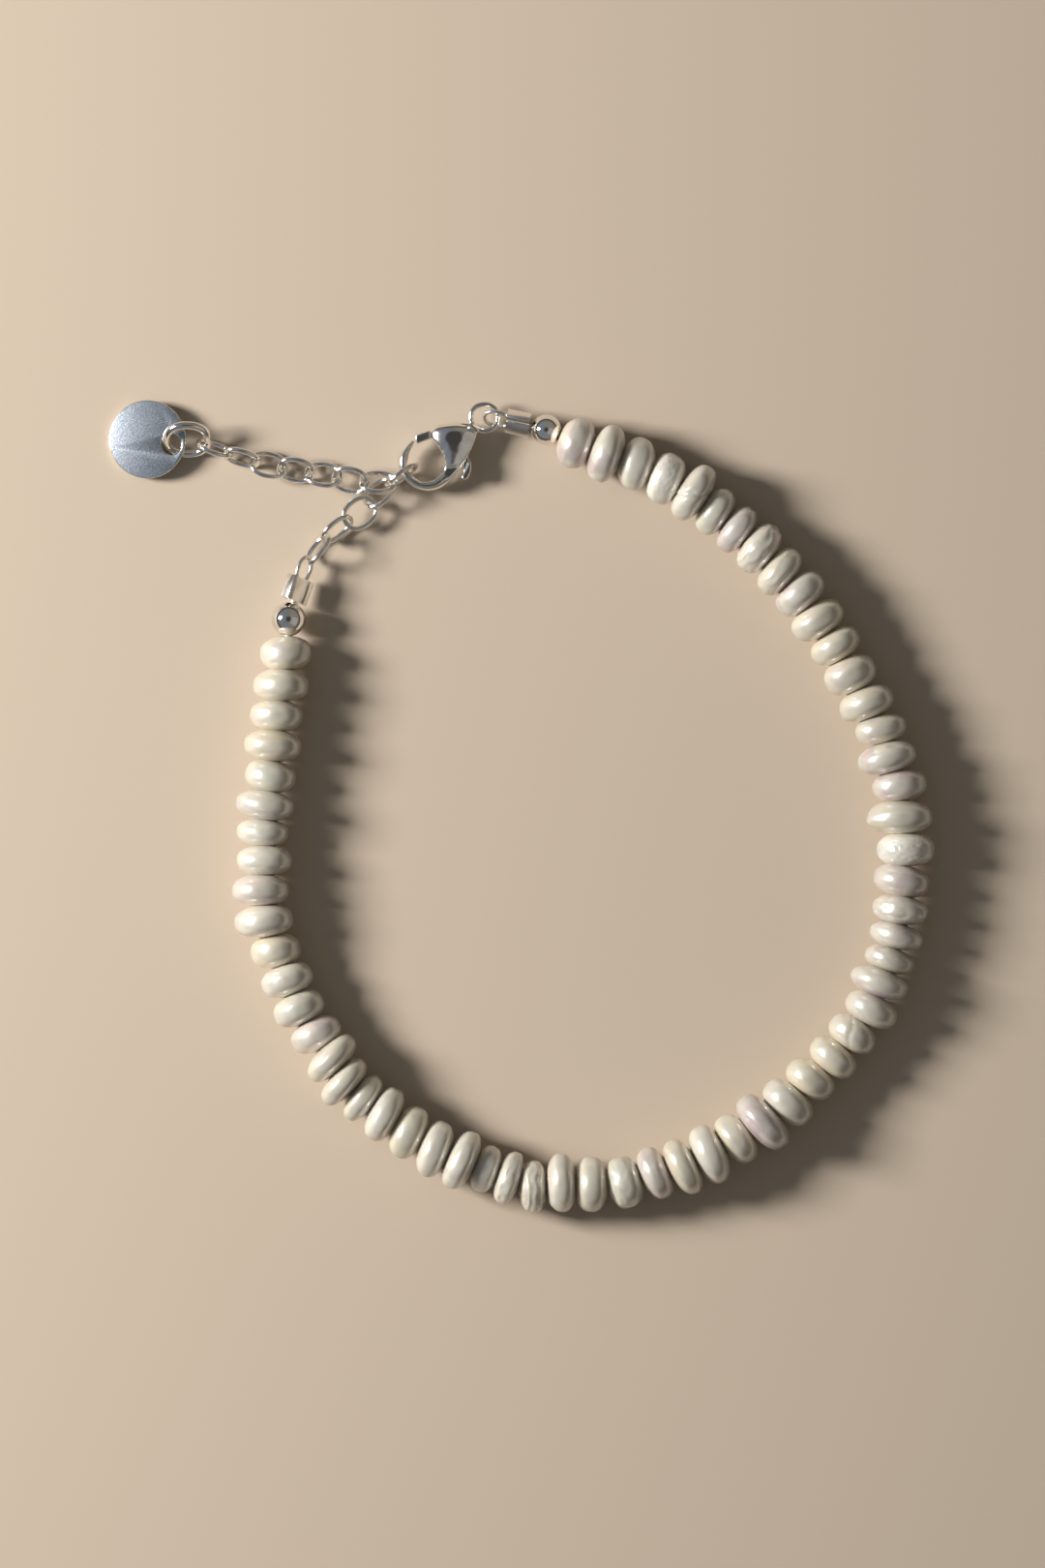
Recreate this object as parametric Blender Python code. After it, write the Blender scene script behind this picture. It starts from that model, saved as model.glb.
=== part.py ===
"""Pearl bracelet: button pearls on a thread, a lobster clasp and an extender chain, laid out flat.

Metres, +Z up. The bracelet lies on the plane z = 0, seen from above as it is worn open on a table.
Plan points are in millimetres and are turned into metres where they are read.
"""

import math

import bmesh
import bpy
from mathutils import Matrix, Vector

MM = 0.001
UP = Vector((0, 0, 1))

# Pearls and their thread
PEARL_WIDTH = 0.0044
PEARL_FULLNESS = 2.4
PEARL_SIDES = 12
PEARL_BANDS = 5
PEARL_FILL = 0.96
THREAD_DIAMETER = 0.0004
THREAD_BORE_GAP = 0.00018

# End balls and folded crimp ends with their wire loops
CLASP_BALL_DIAMETER = 0.0025
CHAIN_BALL_DIAMETER = 0.0028
BALL_SIDES = 16
BALL_GAP = 0.00006
CRIMP_LENGTH = 0.00195
CRIMP_THICKNESS = 0.00105
CRIMP_WALL = 0.00022
CRIMP_SOLID_END = 0.0005
CRIMP_EDGE_BEVEL = 0.00012
CLASP_CRIMP_WIDTH = 0.0019
CHAIN_CRIMP_WIDTH = 0.0024
CLASP_CRIMP_ROLL = 42
CHAIN_CRIMP_ROLL = -48
LOOP_WIRE = 0.00034
LOOP_REACH = 0.0020
LOOP_WIDTH = 0.0018

# Chain, jump ring and tag
LINK_LENGTH = 0.00322
LINK_WIDTH = 0.0026
LINK_WIRE = 0.00042
LINK_PLAY = 0.0001
WIRE_SIDES = 6
RING_STEPS = 14
JUMP_RING_DIAMETER = 0.0040
JUMP_RING_WIRE = 0.00066
TAG_DIAMETER = 0.00635
TAG_THICKNESS = 0.0004
TAG_SIDES = 40
TAG_HOLE = 0.0017
TAG_RIM = 0.00028

# The jump ring stands on its low side, rolled about X, and the last link grips it at a turn about its
# middle. The tag leans on the ring: its hole lies off the ring's middle by these shares of its radius.
FLOOR_GAP = 0.00002
JUMP_RING_ROLL = -48
RING_GRIP_TURN = 155
TAG_TILT = 10
TAG_TURN = -12
TAG_HANG = (-0.76, -0.22, -0.275)

# Lobster clasp
CLASP_LENGTH = 0.0100
CLASP_RING_DIAMETER = 0.0026
CLASP_RING_WIRE = 0.00042
PALM_THICKNESS = 0.0019
HOOK_THICKNESS = 0.0012
LEVER_THICKNESS = 0.00045
LEVER_SIDE_GAP = 0.0001
GATE_THICKNESS = 0.0011
TRIGGER_THICKNESS = 0.0010
PIN_DIAMETER = 0.0005
PIN_GAP = 0.00008
PIN_SUNK = 0.0001

# How finely the round shapes are faceted
BORE_SIDES = 8
PIN_SIDES = 12
TAG_HOLE_SIDES = 16
OUTLINE_STEPS = 2
ROUTE_STEPS = 12
OVAL_ROUNDING = 0.9
SHARP_FROM_DEGREES = 40
MERGE_MM = 1e-4

# The middle of the laid-out bracelet's box, in the plan that the two routes are given in, in millimetres
BOX_MIDDLE = (0.056, 0.207, 0)

# The route of the pearls and of what joins them, from the clasp's ring round to the chain: x, y and the height
# of its middle, in millimetres
BAND_ROUTE = [
    (-2.94, 31.71, 1.45),
    (-0.35, 31.30, 1.60),
    (2.08, 30.69, 1.90),
    (4.58, 29.57, 2.10),
    (12.00, 26.72, 2.15),
    (17.62, 22.60, 2.15),
    (22.75, 17.10, 2.15),
    (26.95, 10.60, 2.15),
    (30.05, 3.75, 2.20),
    (31.05, -3.50, 2.25),
    (30.35, -10.60, 2.15),
    (27.90, -16.90, 2.15),
    (23.45, -22.15, 2.15),
    (17.35, -27.00, 2.20),
    (10.50, -29.80, 2.15),
    (3.30, -30.65, 2.20),
    (-2.90, -29.35, 2.15),
    (-9.35, -26.10, 2.20),
    (-14.45, -21.75, 2.20),
    (-18.20, -15.55, 2.10),
    (-20.70, -8.70, 2.10),
    (-20.90, -1.60, 2.15),
    (-19.95, 5.40, 2.15),
    (-19.10, 13.05, 2.05),
    (-18.70, 15.95, 2.00),
    (-18.05, 18.10, 1.85),
    (-17.00, 20.30, 1.60),
]

# The band's last stretch to the hook, and the free end of the chain from its second link to the jump ring:
# both go with the clasp, from the middle of the link in its hook, in millimetres
BAND_END = [(-5.41, -4.48, 0.04), (-3.31, -2.98, -0.11)]
TAIL_ROUTE = [
    (-4.11, -0.36, 0.19),
    (-6.36, 0.10, -0.29),
    (-8.61, 0.50, -0.43),
    (-10.91, 0.92, -0.41),
    (-13.16, 1.54, -0.17),
    (-15.31, 2.27, -0.07),
    (-17.21, 2.92, -0.07),
]

# The stringing chart: width and thickness as shares, the turn of the pearl's face in plan in degrees
# and how far the pearl sits outside the route, as a share of its width
PEARL_CHART = [
    (0.94, 1.10, 70, 0.00), (1.10, 1.00, 69, 0.00), (0.97, 1.09, 74, 0.02), (0.99, 1.07, 68, -0.02),
    (1.14, 0.96, 57, 0.02), (0.95, 0.93, 56, -0.02), (0.94, 0.90, 54, 0.00), (1.01, 1.03, 52, 0.02),
    (1.00, 0.97, 50, 0.00), (1.02, 1.02, 42, 0.03), (1.02, 1.06, 32, 0.00), (0.96, 0.99, 31, 0.02),
    (0.98, 1.13, 24, -0.02), (1.02, 1.01, 20, 0.00), (0.96, 0.93, 12, 0.03), (1.08, 0.98, 15, -0.05),
    (1.02, 0.99, 9, 0.05), (1.16, 1.05, 0, -0.02), (1.07, 1.07, 0, 0.04), (1.03, 1.00, -12, -0.02),
    (1.05, 0.91, -9, 0.00), (0.99, 0.82, -14, 0.02), (0.95, 0.78, -19, 0.01), (1.10, 0.87, -21, -0.03),
    (1.01, 0.97, -26, 0.05), (0.94, 1.02, -34, -0.02), (0.96, 1.00, -38, 0.00), (0.94, 1.05, -34, -0.02),
    (1.04, 1.07, -40, 0.02), (1.21, 1.03, -48, 0.00), (0.99, 1.01, -55, -0.02), (1.12, 1.01, -65, 0.00),
    (1.10, 0.93, -62, 0.02), (1.00, 0.95, -65, -0.02), (0.99, 1.12, -75, 0.02), (1.01, 1.05, -90, -0.02),
    (1.05, 0.94, -88, -0.06), (0.94, 0.89, 90, 0.06), (0.99, 0.77, 72, 0.00), (0.90, 0.82, 70, -0.03),
    (1.15, 0.91, 65, 0.00), (1.07, 0.98, 69, 0.02), (1.00, 1.05, 66, 0.00), (1.07, 0.94, 63, -0.02),
    (0.95, 0.82, 53, 0.00), (1.08, 0.81, 47, 0.04), (1.10, 0.89, 45, -0.04), (0.95, 1.01, 27, -0.03),
    (0.96, 1.02, 24, 0.02), (0.98, 1.00, 19, 0.00), (0.93, 1.05, 10, 0.00), (1.08, 1.03, 6, 0.04),
    (1.07, 0.99, 0, 0.03), (1.03, 0.95, 0, -0.05), (0.97, 0.87, -3, 0.00), (1.07, 0.93, -8, 0.00),
    (0.94, 1.01, -10, -0.02), (1.05, 1.00, -4, 0.02), (0.96, 0.99, -3, 0.02), (1.01, 1.03, 0, 0.00),
    (0.95, 1.07, 4, -0.02),
]

# The link in the clasp's hook, from the ring's middle in tenths of the clasp's length, and the three links
# that meet there: their places from its middle in shares of a link's length, heading, rise and roll
HOOK_LINK_AT = (-6.75, -4.73, -0.04)
HOOK_LINKS = [
    ("hook_link", (0, 0, 0), 37.5, 8.3, 78.6),
    ("band_link_1", (-0.553, -0.431, -0.088), 38.9, 1.5, -43.6),
    ("tail_link_1", (-0.582, -0.167, 0.151), 0.3, -3.8, -43.5),
]

# How far each further link is rolled about its own length, in degrees, counted away from the hook
BAND_LINK_ROLLS = [6, 62, -68]
TAIL_LINK_ROLLS = [-34, 36, -42, 32, -62, 70]

# Clasp outlines in plan, from the middle of its ring, in tenths of the clasp's length
CLASP_OUTER_BACK = [
    (-5.78, -1.77), (-6.40, -2.35), (-6.93, -3.30), (-6.88, -4.20), (-6.30, -5.15), (-5.20, -5.82),
    (-4.00, -5.85), (-2.90, -5.25), (-2.05, -4.30), (-1.25, -3.00), (-0.72, -1.75), (-0.50, -1.04),
]
CLASP_TOP = [(-1.02, -0.52), (-2.40, -0.40), (-3.70, -0.62)]
CLASP_NOSE = [(-4.25, -1.10), (-4.25, -1.60)]
CLASP_INNER = [
    (-3.70, -2.49), (-3.22, -3.45), (-3.28, -4.35), (-4.05, -5.05), (-4.95, -5.22), (-5.88, -4.70),
    (-6.30, -3.90), (-6.14, -3.00), (-5.70, -2.02),
]
PALM_OUTER = [(-3.11, -4.02), (-2.20, -3.88), (-1.32, -2.84), (-0.84, -1.78), (-0.72, -1.24)]
PALM_TOP = [(-1.20, -0.70), (-2.40, -0.52), (-3.62, -0.74)]
PALM_INNER = [(-4.13, -1.16), (-4.13, -1.56), (-3.59, -2.45), (-3.10, -3.42)]
PIVOT = (-2.32, -1.53)
SLOT = [
    (-5.20, -0.82), (-2.60, -0.74), (-1.75, -0.86), (-1.20, -1.45), (-0.30, -2.10), (-0.30, -4.40),
    (-2.20, -4.40), (-1.98, -3.20), (-2.35, -2.40), (-3.30, -2.78), (-5.20, -3.30),
]
LEVER_ARMS = [
    (-4.70, -1.22), (-3.00, -1.00), (-2.32, -0.98), (-1.88, -1.25), (-1.60, -2.00), (-1.32, -3.10),
    (-1.20, -3.80), (-1.25, -4.60), (-1.65, -4.80), (-1.75, -4.30), (-1.70, -3.20), (-2.00, -2.25),
    (-2.70, -2.00), (-4.70, -1.62),
]
GATE = [(-4.42, -1.06), (-5.58, -1.46), (-5.60, -1.75), (-5.46, -2.15), (-4.42, -1.74)]
TRIGGER = [
    (-1.14, -3.42), (-1.04, -3.90), (-1.10, -4.45), (-1.36, -4.98), (-1.66, -5.08), (-1.88, -4.86),
    (-1.55, -4.30), (-1.30, -3.70),
]

SILVER = (0.86, 0.85, 0.82, 1.0)
PEARL_CREAM = (0.87, 0.83, 0.74, 1.0)


def clear_scene():
    for thing in list(bpy.data.objects):
        bpy.data.objects.remove(thing, do_unlink=True)


def new_collection(name):
    made = bpy.data.collections.new(name)
    bpy.context.scene.collection.children.link(made)
    return made


def make_material(name, colour, roughness, metallic):
    made = bpy.data.materials.new(name)
    made.use_nodes = True
    shader = made.node_tree.nodes["Principled BSDF"]
    shader.inputs["Base Color"].default_value = colour
    shader.inputs["Roughness"].default_value = roughness
    shader.inputs["Metallic"].default_value = metallic
    return made


def plan_point(point):
    return (Vector(point) - Vector(BOX_MIDDLE)) * MM


def add_object(name, mesh, collection, material=None):
    made = bpy.data.objects.new(name, mesh)
    collection.objects.link(made)
    if material:
        mesh.materials.append(material)
        mesh.shade_smooth()
        mesh.set_sharp_from_angle(angle=math.radians(SHARP_FROM_DEGREES))
    return made


def mesh_from(name, shape):
    mesh = bpy.data.meshes.new(name)
    shape.to_mesh(mesh)
    shape.free()
    return mesh


def curve_to_mesh(name, curve, place):
    """The curve's mesh with its caps welded on and its place applied."""
    holder = bpy.data.objects.new(name, curve)
    bpy.context.scene.collection.objects.link(holder)
    graph = bpy.context.evaluated_depsgraph_get()
    mesh = bpy.data.meshes.new_from_object(holder.evaluated_get(graph))
    bpy.data.objects.remove(holder)
    shape = bmesh.new()
    shape.from_mesh(mesh)
    shape.transform(Matrix.Scale(1 / MM, 4))
    bmesh.ops.remove_doubles(shape, verts=shape.verts, dist=MERGE_MM)
    bmesh.ops.recalc_face_normals(shape, faces=shape.faces)
    shape.transform(place @ Matrix.Scale(MM, 4))
    return mesh_from(name, shape)


def wire_mesh(name, points, diameter, closed, place=Matrix.Identity(4)):
    """A round wire along the points."""
    curve = bpy.data.curves.new(name, "CURVE")
    curve.dimensions = "3D"
    curve.bevel_depth = diameter / 2
    curve.bevel_resolution = WIRE_SIDES // 2 - 2
    curve.use_fill_caps = not closed
    line = curve.splines.new("POLY")
    line.points.add(len(points) - 1)
    for slot, point in zip(line.points, points):
        slot.co = (*point, 1)
    line.use_cyclic_u = closed
    return curve_to_mesh(name, curve, place)


def plate_mesh(name, outline, thickness, place=Matrix.Identity(4)):
    """A flat outline in plan, as thick as stated, with its middle at the place's own zero height."""
    curve = bpy.data.curves.new(name, "CURVE")
    curve.dimensions = "2D"
    curve.fill_mode = "BOTH"
    curve.extrude = thickness / 2
    line = curve.splines.new("POLY")
    line.points.add(len(outline) - 1)
    for slot, (x, y) in zip(line.points, outline):
        slot.co = (x, y, 0, 1)
    line.use_cyclic_u = True
    return curve_to_mesh(name, curve, place)


def combine(body, other, operation):
    """Adds the other object to the body, or takes it away, with a Boolean."""
    change = body.modifiers.new(other.name, "BOOLEAN")
    change.operation = operation
    change.object = other
    other.hide_render = True
    other.display_type = "WIRE"


def smooth_points(points, steps):
    """A Catmull-Rom line through the points, each span in so many steps."""
    points = [Vector(p) for p in points]
    ends = [2 * points[0] - points[1]] + points + [2 * points[-1] - points[-2]]
    found = []
    for a, b, c, d in zip(ends, ends[1:], ends[2:], ends[3:]):
        for step in range(steps):
            t = step / steps
            bend = (2 * a - 5 * b + 4 * c - d) * t**2 + (3 * b - a - 3 * c + d) * t**3
            found.append(0.5 * (2 * b + (c - a) * t + bend))
    return found + [points[-1]]


class Route:
    """A smooth line that gives its point and heading at any distance along it."""

    def __init__(self, points):
        self.line = smooth_points(points, ROUTE_STEPS)
        self.marks = [0.0]
        for a, b in zip(self.line, self.line[1:]):
            self.marks.append(self.marks[-1] + (b - a).length)
        self.length = self.marks[-1]

    def at(self, distance):
        i = 0
        while i < len(self.marks) - 2 and self.marks[i + 1] < distance:
            i += 1
        step = self.line[i + 1] - self.line[i]
        point = self.line[i] + step * ((distance - self.marks[i]) / step.length)
        return point, step.normalized()


def frame_at(point, heading, roll_degrees=0.0):
    """A place whose X runs along the heading and whose Z is up, rolled about X."""
    along = heading.normalized()
    side = UP.cross(along).normalized()
    top = along.cross(side)
    turn = Matrix((along, side, top)).transposed().to_4x4()
    return Matrix.Translation(point) @ turn @ Matrix.Rotation(math.radians(roll_degrees), 4, "X")


def heading_of(turn, rise):
    turn, rise = math.radians(turn), math.radians(rise)
    return Vector((math.cos(turn) * math.cos(rise), math.sin(turn) * math.cos(rise), math.sin(rise)))


def oval_points(length, width, steps):
    """A link's middle line: an oval in the XY plane with full round ends."""
    found = []
    for step in range(steps):
        turn = 2 * math.pi * step / steps
        x, y = math.cos(turn), math.sin(turn)
        x, y = math.copysign(abs(x) ** OVAL_ROUNDING, x), math.copysign(abs(y) ** OVAL_ROUNDING, y)
        found.append((length / 2 * x, width / 2 * y, 0))
    return found


def clasp_points(points):
    unit = CLASP_LENGTH / 10
    return [(x * unit, y * unit) for x, y in points]


def smooth_outline(points):
    return [(p.x, p.y) for p in smooth_points([(x, y, 0) for x, y in clasp_points(points)], OUTLINE_STEPS)]


def make_pearls(band, first, last):
    """The chart's pearls, filling the route from one end ball to the other: (place, width, thickness) of each."""
    total = sum(thick for _, thick, _, _ in PEARL_CHART)
    scale = (last - first) / total
    reached = first
    found = []
    for wide, thick, turn, outside in PEARL_CHART:
        reached += scale * thick / 2
        point, heading = band.at(reached)
        reached += scale * thick / 2
        width = PEARL_WIDTH * wide
        left = Vector((-heading.y, heading.x, 0)).normalized()
        middle = point + left * (outside * width)
        middle.z = width / 2
        place = Matrix.Translation(middle) @ Matrix.Rotation(math.radians(turn - 90), 4, "Z")
        found.append((place, width, scale * thick * PEARL_FILL))
    return found


def add_pearl(shape, place, width, thickness):
    """One button pearl: a round with fuller sides than a sphere's, flat along the thread, which is its X.

    Its poles are up and down, and a face looks each way along the thread.
    """
    half_side = Matrix.Rotation(math.pi / PEARL_SIDES, 4, "Z")
    made = bmesh.ops.create_uvsphere(
        shape, u_segments=PEARL_SIDES, v_segments=PEARL_BANDS, radius=1, matrix=half_side
    )["verts"]
    widest = max(vert.co.x for vert in made)
    for vert in made:
        along = vert.co.x / widest
        out = math.hypot(vert.co.y / widest, vert.co.z)
        grown = out ** (2 / PEARL_FULLNESS - 1) if out > 1e-6 else 0
        vert.co.x = math.copysign(abs(along) ** (2 / PEARL_FULLNESS) * thickness / 2, along)
        vert.co.y *= grown * width / 2 / widest
        vert.co.z *= grown * width / 2
    bmesh.ops.transform(shape, verts=made, matrix=place)


def make_string(parts, helpers, pearls, thread_line, material):
    """The string: the thread through every pearl and both end balls, fused with the pearls on it."""
    thread = wire_mesh("pearl_string", thread_line, THREAD_DIAMETER, False)
    string = add_object("pearl_string", thread, parts, material)
    for name, picked in (("odd_pearls", pearls[::2]), ("even_pearls", pearls[1::2])):
        shape = bmesh.new()
        for place, width, thickness in picked:
            add_pearl(shape, place, width, thickness)
        combine(string, add_object(name, mesh_from(name, shape), helpers), "UNION")


def make_ball(name, parts, helpers, place, diameter, material):
    """A hollow-looking end ball, drilled for the thread along X."""
    shape = bmesh.new()
    bmesh.ops.create_uvsphere(shape, u_segments=BALL_SIDES, v_segments=BALL_SIDES // 2, radius=diameter / 2)
    shape.transform(place @ Matrix.Rotation(math.radians(90), 4, "Y"))
    ball = add_object(name, mesh_from(name, shape), parts, material)
    bore = THREAD_DIAMETER + 2 * THREAD_BORE_GAP
    half_side = Matrix.Rotation(math.pi / BALL_SIDES, 4, "X")
    along = place @ half_side @ Matrix.Rotation(math.radians(90), 4, "Y")
    drill = cylinder_mesh(name + "_drill", bore, 2 * diameter, along, BORE_SIDES)
    combine(ball, add_object(name + "_drill", drill, helpers), "DIFFERENCE")


def box_mesh(name, low, high, place, bevel=0.0):
    shape = bmesh.new()
    middle = (Vector(low) + Vector(high)) / 2
    size = Vector(high) - Vector(low)
    bmesh.ops.create_cube(shape, size=1, matrix=Matrix.Translation(middle) @ Matrix.Diagonal(size).to_4x4())
    if bevel:
        edges = [e for e in shape.edges if abs((e.verts[0].co - e.verts[1].co).normalized().x) > 0.9]
        bmesh.ops.bevel(shape, geom=edges, offset=bevel, segments=1, affect="EDGES")
    shape.transform(place)
    return mesh_from(name, shape)


def make_crimp(name, parts, helpers, place, width, material):
    """A folded end: a flat tube that grips the thread, with a wire loop at its closed end (-X)."""
    half = CRIMP_THICKNESS / 2
    tube = box_mesh(
        name, (0, -width / 2, -half), (CRIMP_LENGTH, width / 2, half), place, CRIMP_EDGE_BEVEL
    )
    crimp = add_object(name, tube, parts, material)
    pocket = box_mesh(
        name + "_pocket",
        (CRIMP_SOLID_END, -width / 2 + CRIMP_WALL, -half + CRIMP_WALL),
        (2 * CRIMP_LENGTH, width / 2 - CRIMP_WALL, half - CRIMP_WALL),
        place,
    )
    combine(crimp, add_object(name + "_pocket", pocket, helpers), "DIFFERENCE")
    buried = CRIMP_SOLID_END / 2
    line_length = LOOP_REACH - LOOP_WIRE / 2 + buried
    shift = Matrix.Translation((buried - line_length / 2, 0, 0))
    line = oval_points(line_length, LOOP_WIDTH - LOOP_WIRE, RING_STEPS)
    loop = wire_mesh(name + "_loop", line, LOOP_WIRE, True, place @ shift)
    combine(crimp, add_object(name + "_loop", loop, helpers), "UNION")


def make_link(name, parts, place, material):
    line = oval_points(LINK_LENGTH - LINK_WIRE, LINK_WIDTH - LINK_WIRE, RING_STEPS)
    add_object(name, wire_mesh(name, line, LINK_WIRE, True, place), parts, material)


def make_clasp(parts, helpers, place, material):
    """The clasp's body: a ring, a palm with a slot for the lever and its pin, and a tapering hook."""
    outline = (
        smooth_outline(CLASP_OUTER_BACK)
        + smooth_outline(CLASP_TOP)
        + clasp_points(CLASP_NOSE)
        + smooth_outline(CLASP_INNER)
    )
    body = add_object("clasp_body", plate_mesh("clasp_body", outline, HOOK_THICKNESS, place), parts, material)
    palm_outline = smooth_outline(PALM_OUTER) + smooth_outline(PALM_TOP) + clasp_points(PALM_INNER)
    palm = plate_mesh("palm", palm_outline, PALM_THICKNESS, place)
    combine(body, add_object("palm", palm, helpers), "UNION")
    ring_line = oval_points(
        CLASP_RING_DIAMETER - CLASP_RING_WIRE, CLASP_RING_DIAMETER - CLASP_RING_WIRE, RING_STEPS
    )
    ring = wire_mesh("clasp_ring", ring_line, CLASP_RING_WIRE, True, place)
    combine(body, add_object("clasp_ring", ring, helpers), "UNION")
    slot = plate_mesh("lever_slot", clasp_points(SLOT), LEVER_THICKNESS + 2 * LEVER_SIDE_GAP, place)
    combine(body, add_object("lever_slot", slot, helpers), "DIFFERENCE")
    pin_length = PALM_THICKNESS - 2 * PIN_SUNK
    pin = cylinder_mesh("lever_pin", PIN_DIAMETER, pin_length, place @ pivot_shift(), PIN_SIDES)
    combine(body, add_object("lever_pin", pin, helpers), "UNION")


def pivot_shift():
    x, y = clasp_points([PIVOT])[0]
    return Matrix.Translation((x, y, 0))


def cylinder_mesh(name, diameter, height, place, sides):
    shape = bmesh.new()
    bmesh.ops.create_cone(
        shape, cap_ends=True, segments=sides, radius1=diameter / 2, radius2=diameter / 2, depth=height
    )
    shape.transform(place)
    return mesh_from(name, shape)


def make_lever(parts, helpers, place, material):
    """The sprung lever: a gate that closes the hook, and a trigger for the thumb, on one pin."""
    arms = plate_mesh("clasp_lever", clasp_points(LEVER_ARMS), LEVER_THICKNESS, place)
    lever = add_object("clasp_lever", arms, parts, material)
    gate = plate_mesh("gate", clasp_points(GATE), GATE_THICKNESS, place)
    combine(lever, add_object("gate", gate, helpers), "UNION")
    trigger = plate_mesh("trigger", clasp_points(TRIGGER), TRIGGER_THICKNESS, place)
    combine(lever, add_object("trigger", trigger, helpers), "UNION")
    bore_width = PIN_DIAMETER + 2 * PIN_GAP
    bore = cylinder_mesh("pin_bore", bore_width, 2 * PALM_THICKNESS, place @ pivot_shift(), PIN_SIDES)
    combine(lever, add_object("pin_bore", bore, helpers), "DIFFERENCE")
    return lever


def jump_ring_radius():
    return (JUMP_RING_DIAMETER - JUMP_RING_WIRE) / 2


def make_jump_ring(parts, grip, material):
    """The ring beside the last link's grip, standing on its low side. Gives its place."""
    radius = jump_ring_radius()
    turned = frame_at(Vector((0, 0, 0)), Vector((-1, 0, 0)), JUMP_RING_ROLL)
    turn = math.radians(RING_GRIP_TURN)
    middle = grip - turned @ Vector((radius * math.cos(turn), radius * math.sin(turn), 0))
    middle.z = radius * abs(math.sin(math.radians(JUMP_RING_ROLL))) + JUMP_RING_WIRE / 2 + FLOOR_GAP
    place = Matrix.Translation(middle) @ turned
    line = oval_points(2 * radius, 2 * radius, RING_STEPS + 2)
    add_object("jump_ring", wire_mesh("jump_ring", line, JUMP_RING_WIRE, True, place), parts, material)
    return place


def tag_place_on(ring_middle):
    """The tag's place: its hole round the ring's wire, and its far edge on the surface."""
    turned = Matrix.Rotation(math.radians(-TAG_TILT), 4, "Y") @ Matrix.Rotation(math.radians(TAG_TURN), 4, "Z")
    hole = ring_middle + Vector(TAG_HANG) * jump_ring_radius()
    middle = hole - turned @ Vector((tag_hole_reach(), 0, 0))
    tilt = math.radians(TAG_TILT)
    middle.z = TAG_DIAMETER / 2 * math.sin(tilt) + TAG_THICKNESS / 2 * math.cos(tilt) + FLOOR_GAP
    return Matrix.Translation(middle) @ turned


def make_tag(parts, helpers, place, material):
    """A plain round tag, with its hole near the rim on its own +X side."""
    tag = add_object("tag", cylinder_mesh("tag", TAG_DIAMETER, TAG_THICKNESS, place, TAG_SIDES), parts, material)
    hole_place = place @ Matrix.Translation((tag_hole_reach(), 0, 0))
    hole = cylinder_mesh("tag_hole", TAG_HOLE, 4 * TAG_THICKNESS, hole_place, TAG_HOLE_SIDES)
    combine(tag, add_object("tag_hole", hole, helpers), "DIFFERENCE")


def tag_hole_reach():
    return TAG_DIAMETER / 2 - TAG_RIM - TAG_HOLE / 2


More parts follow.
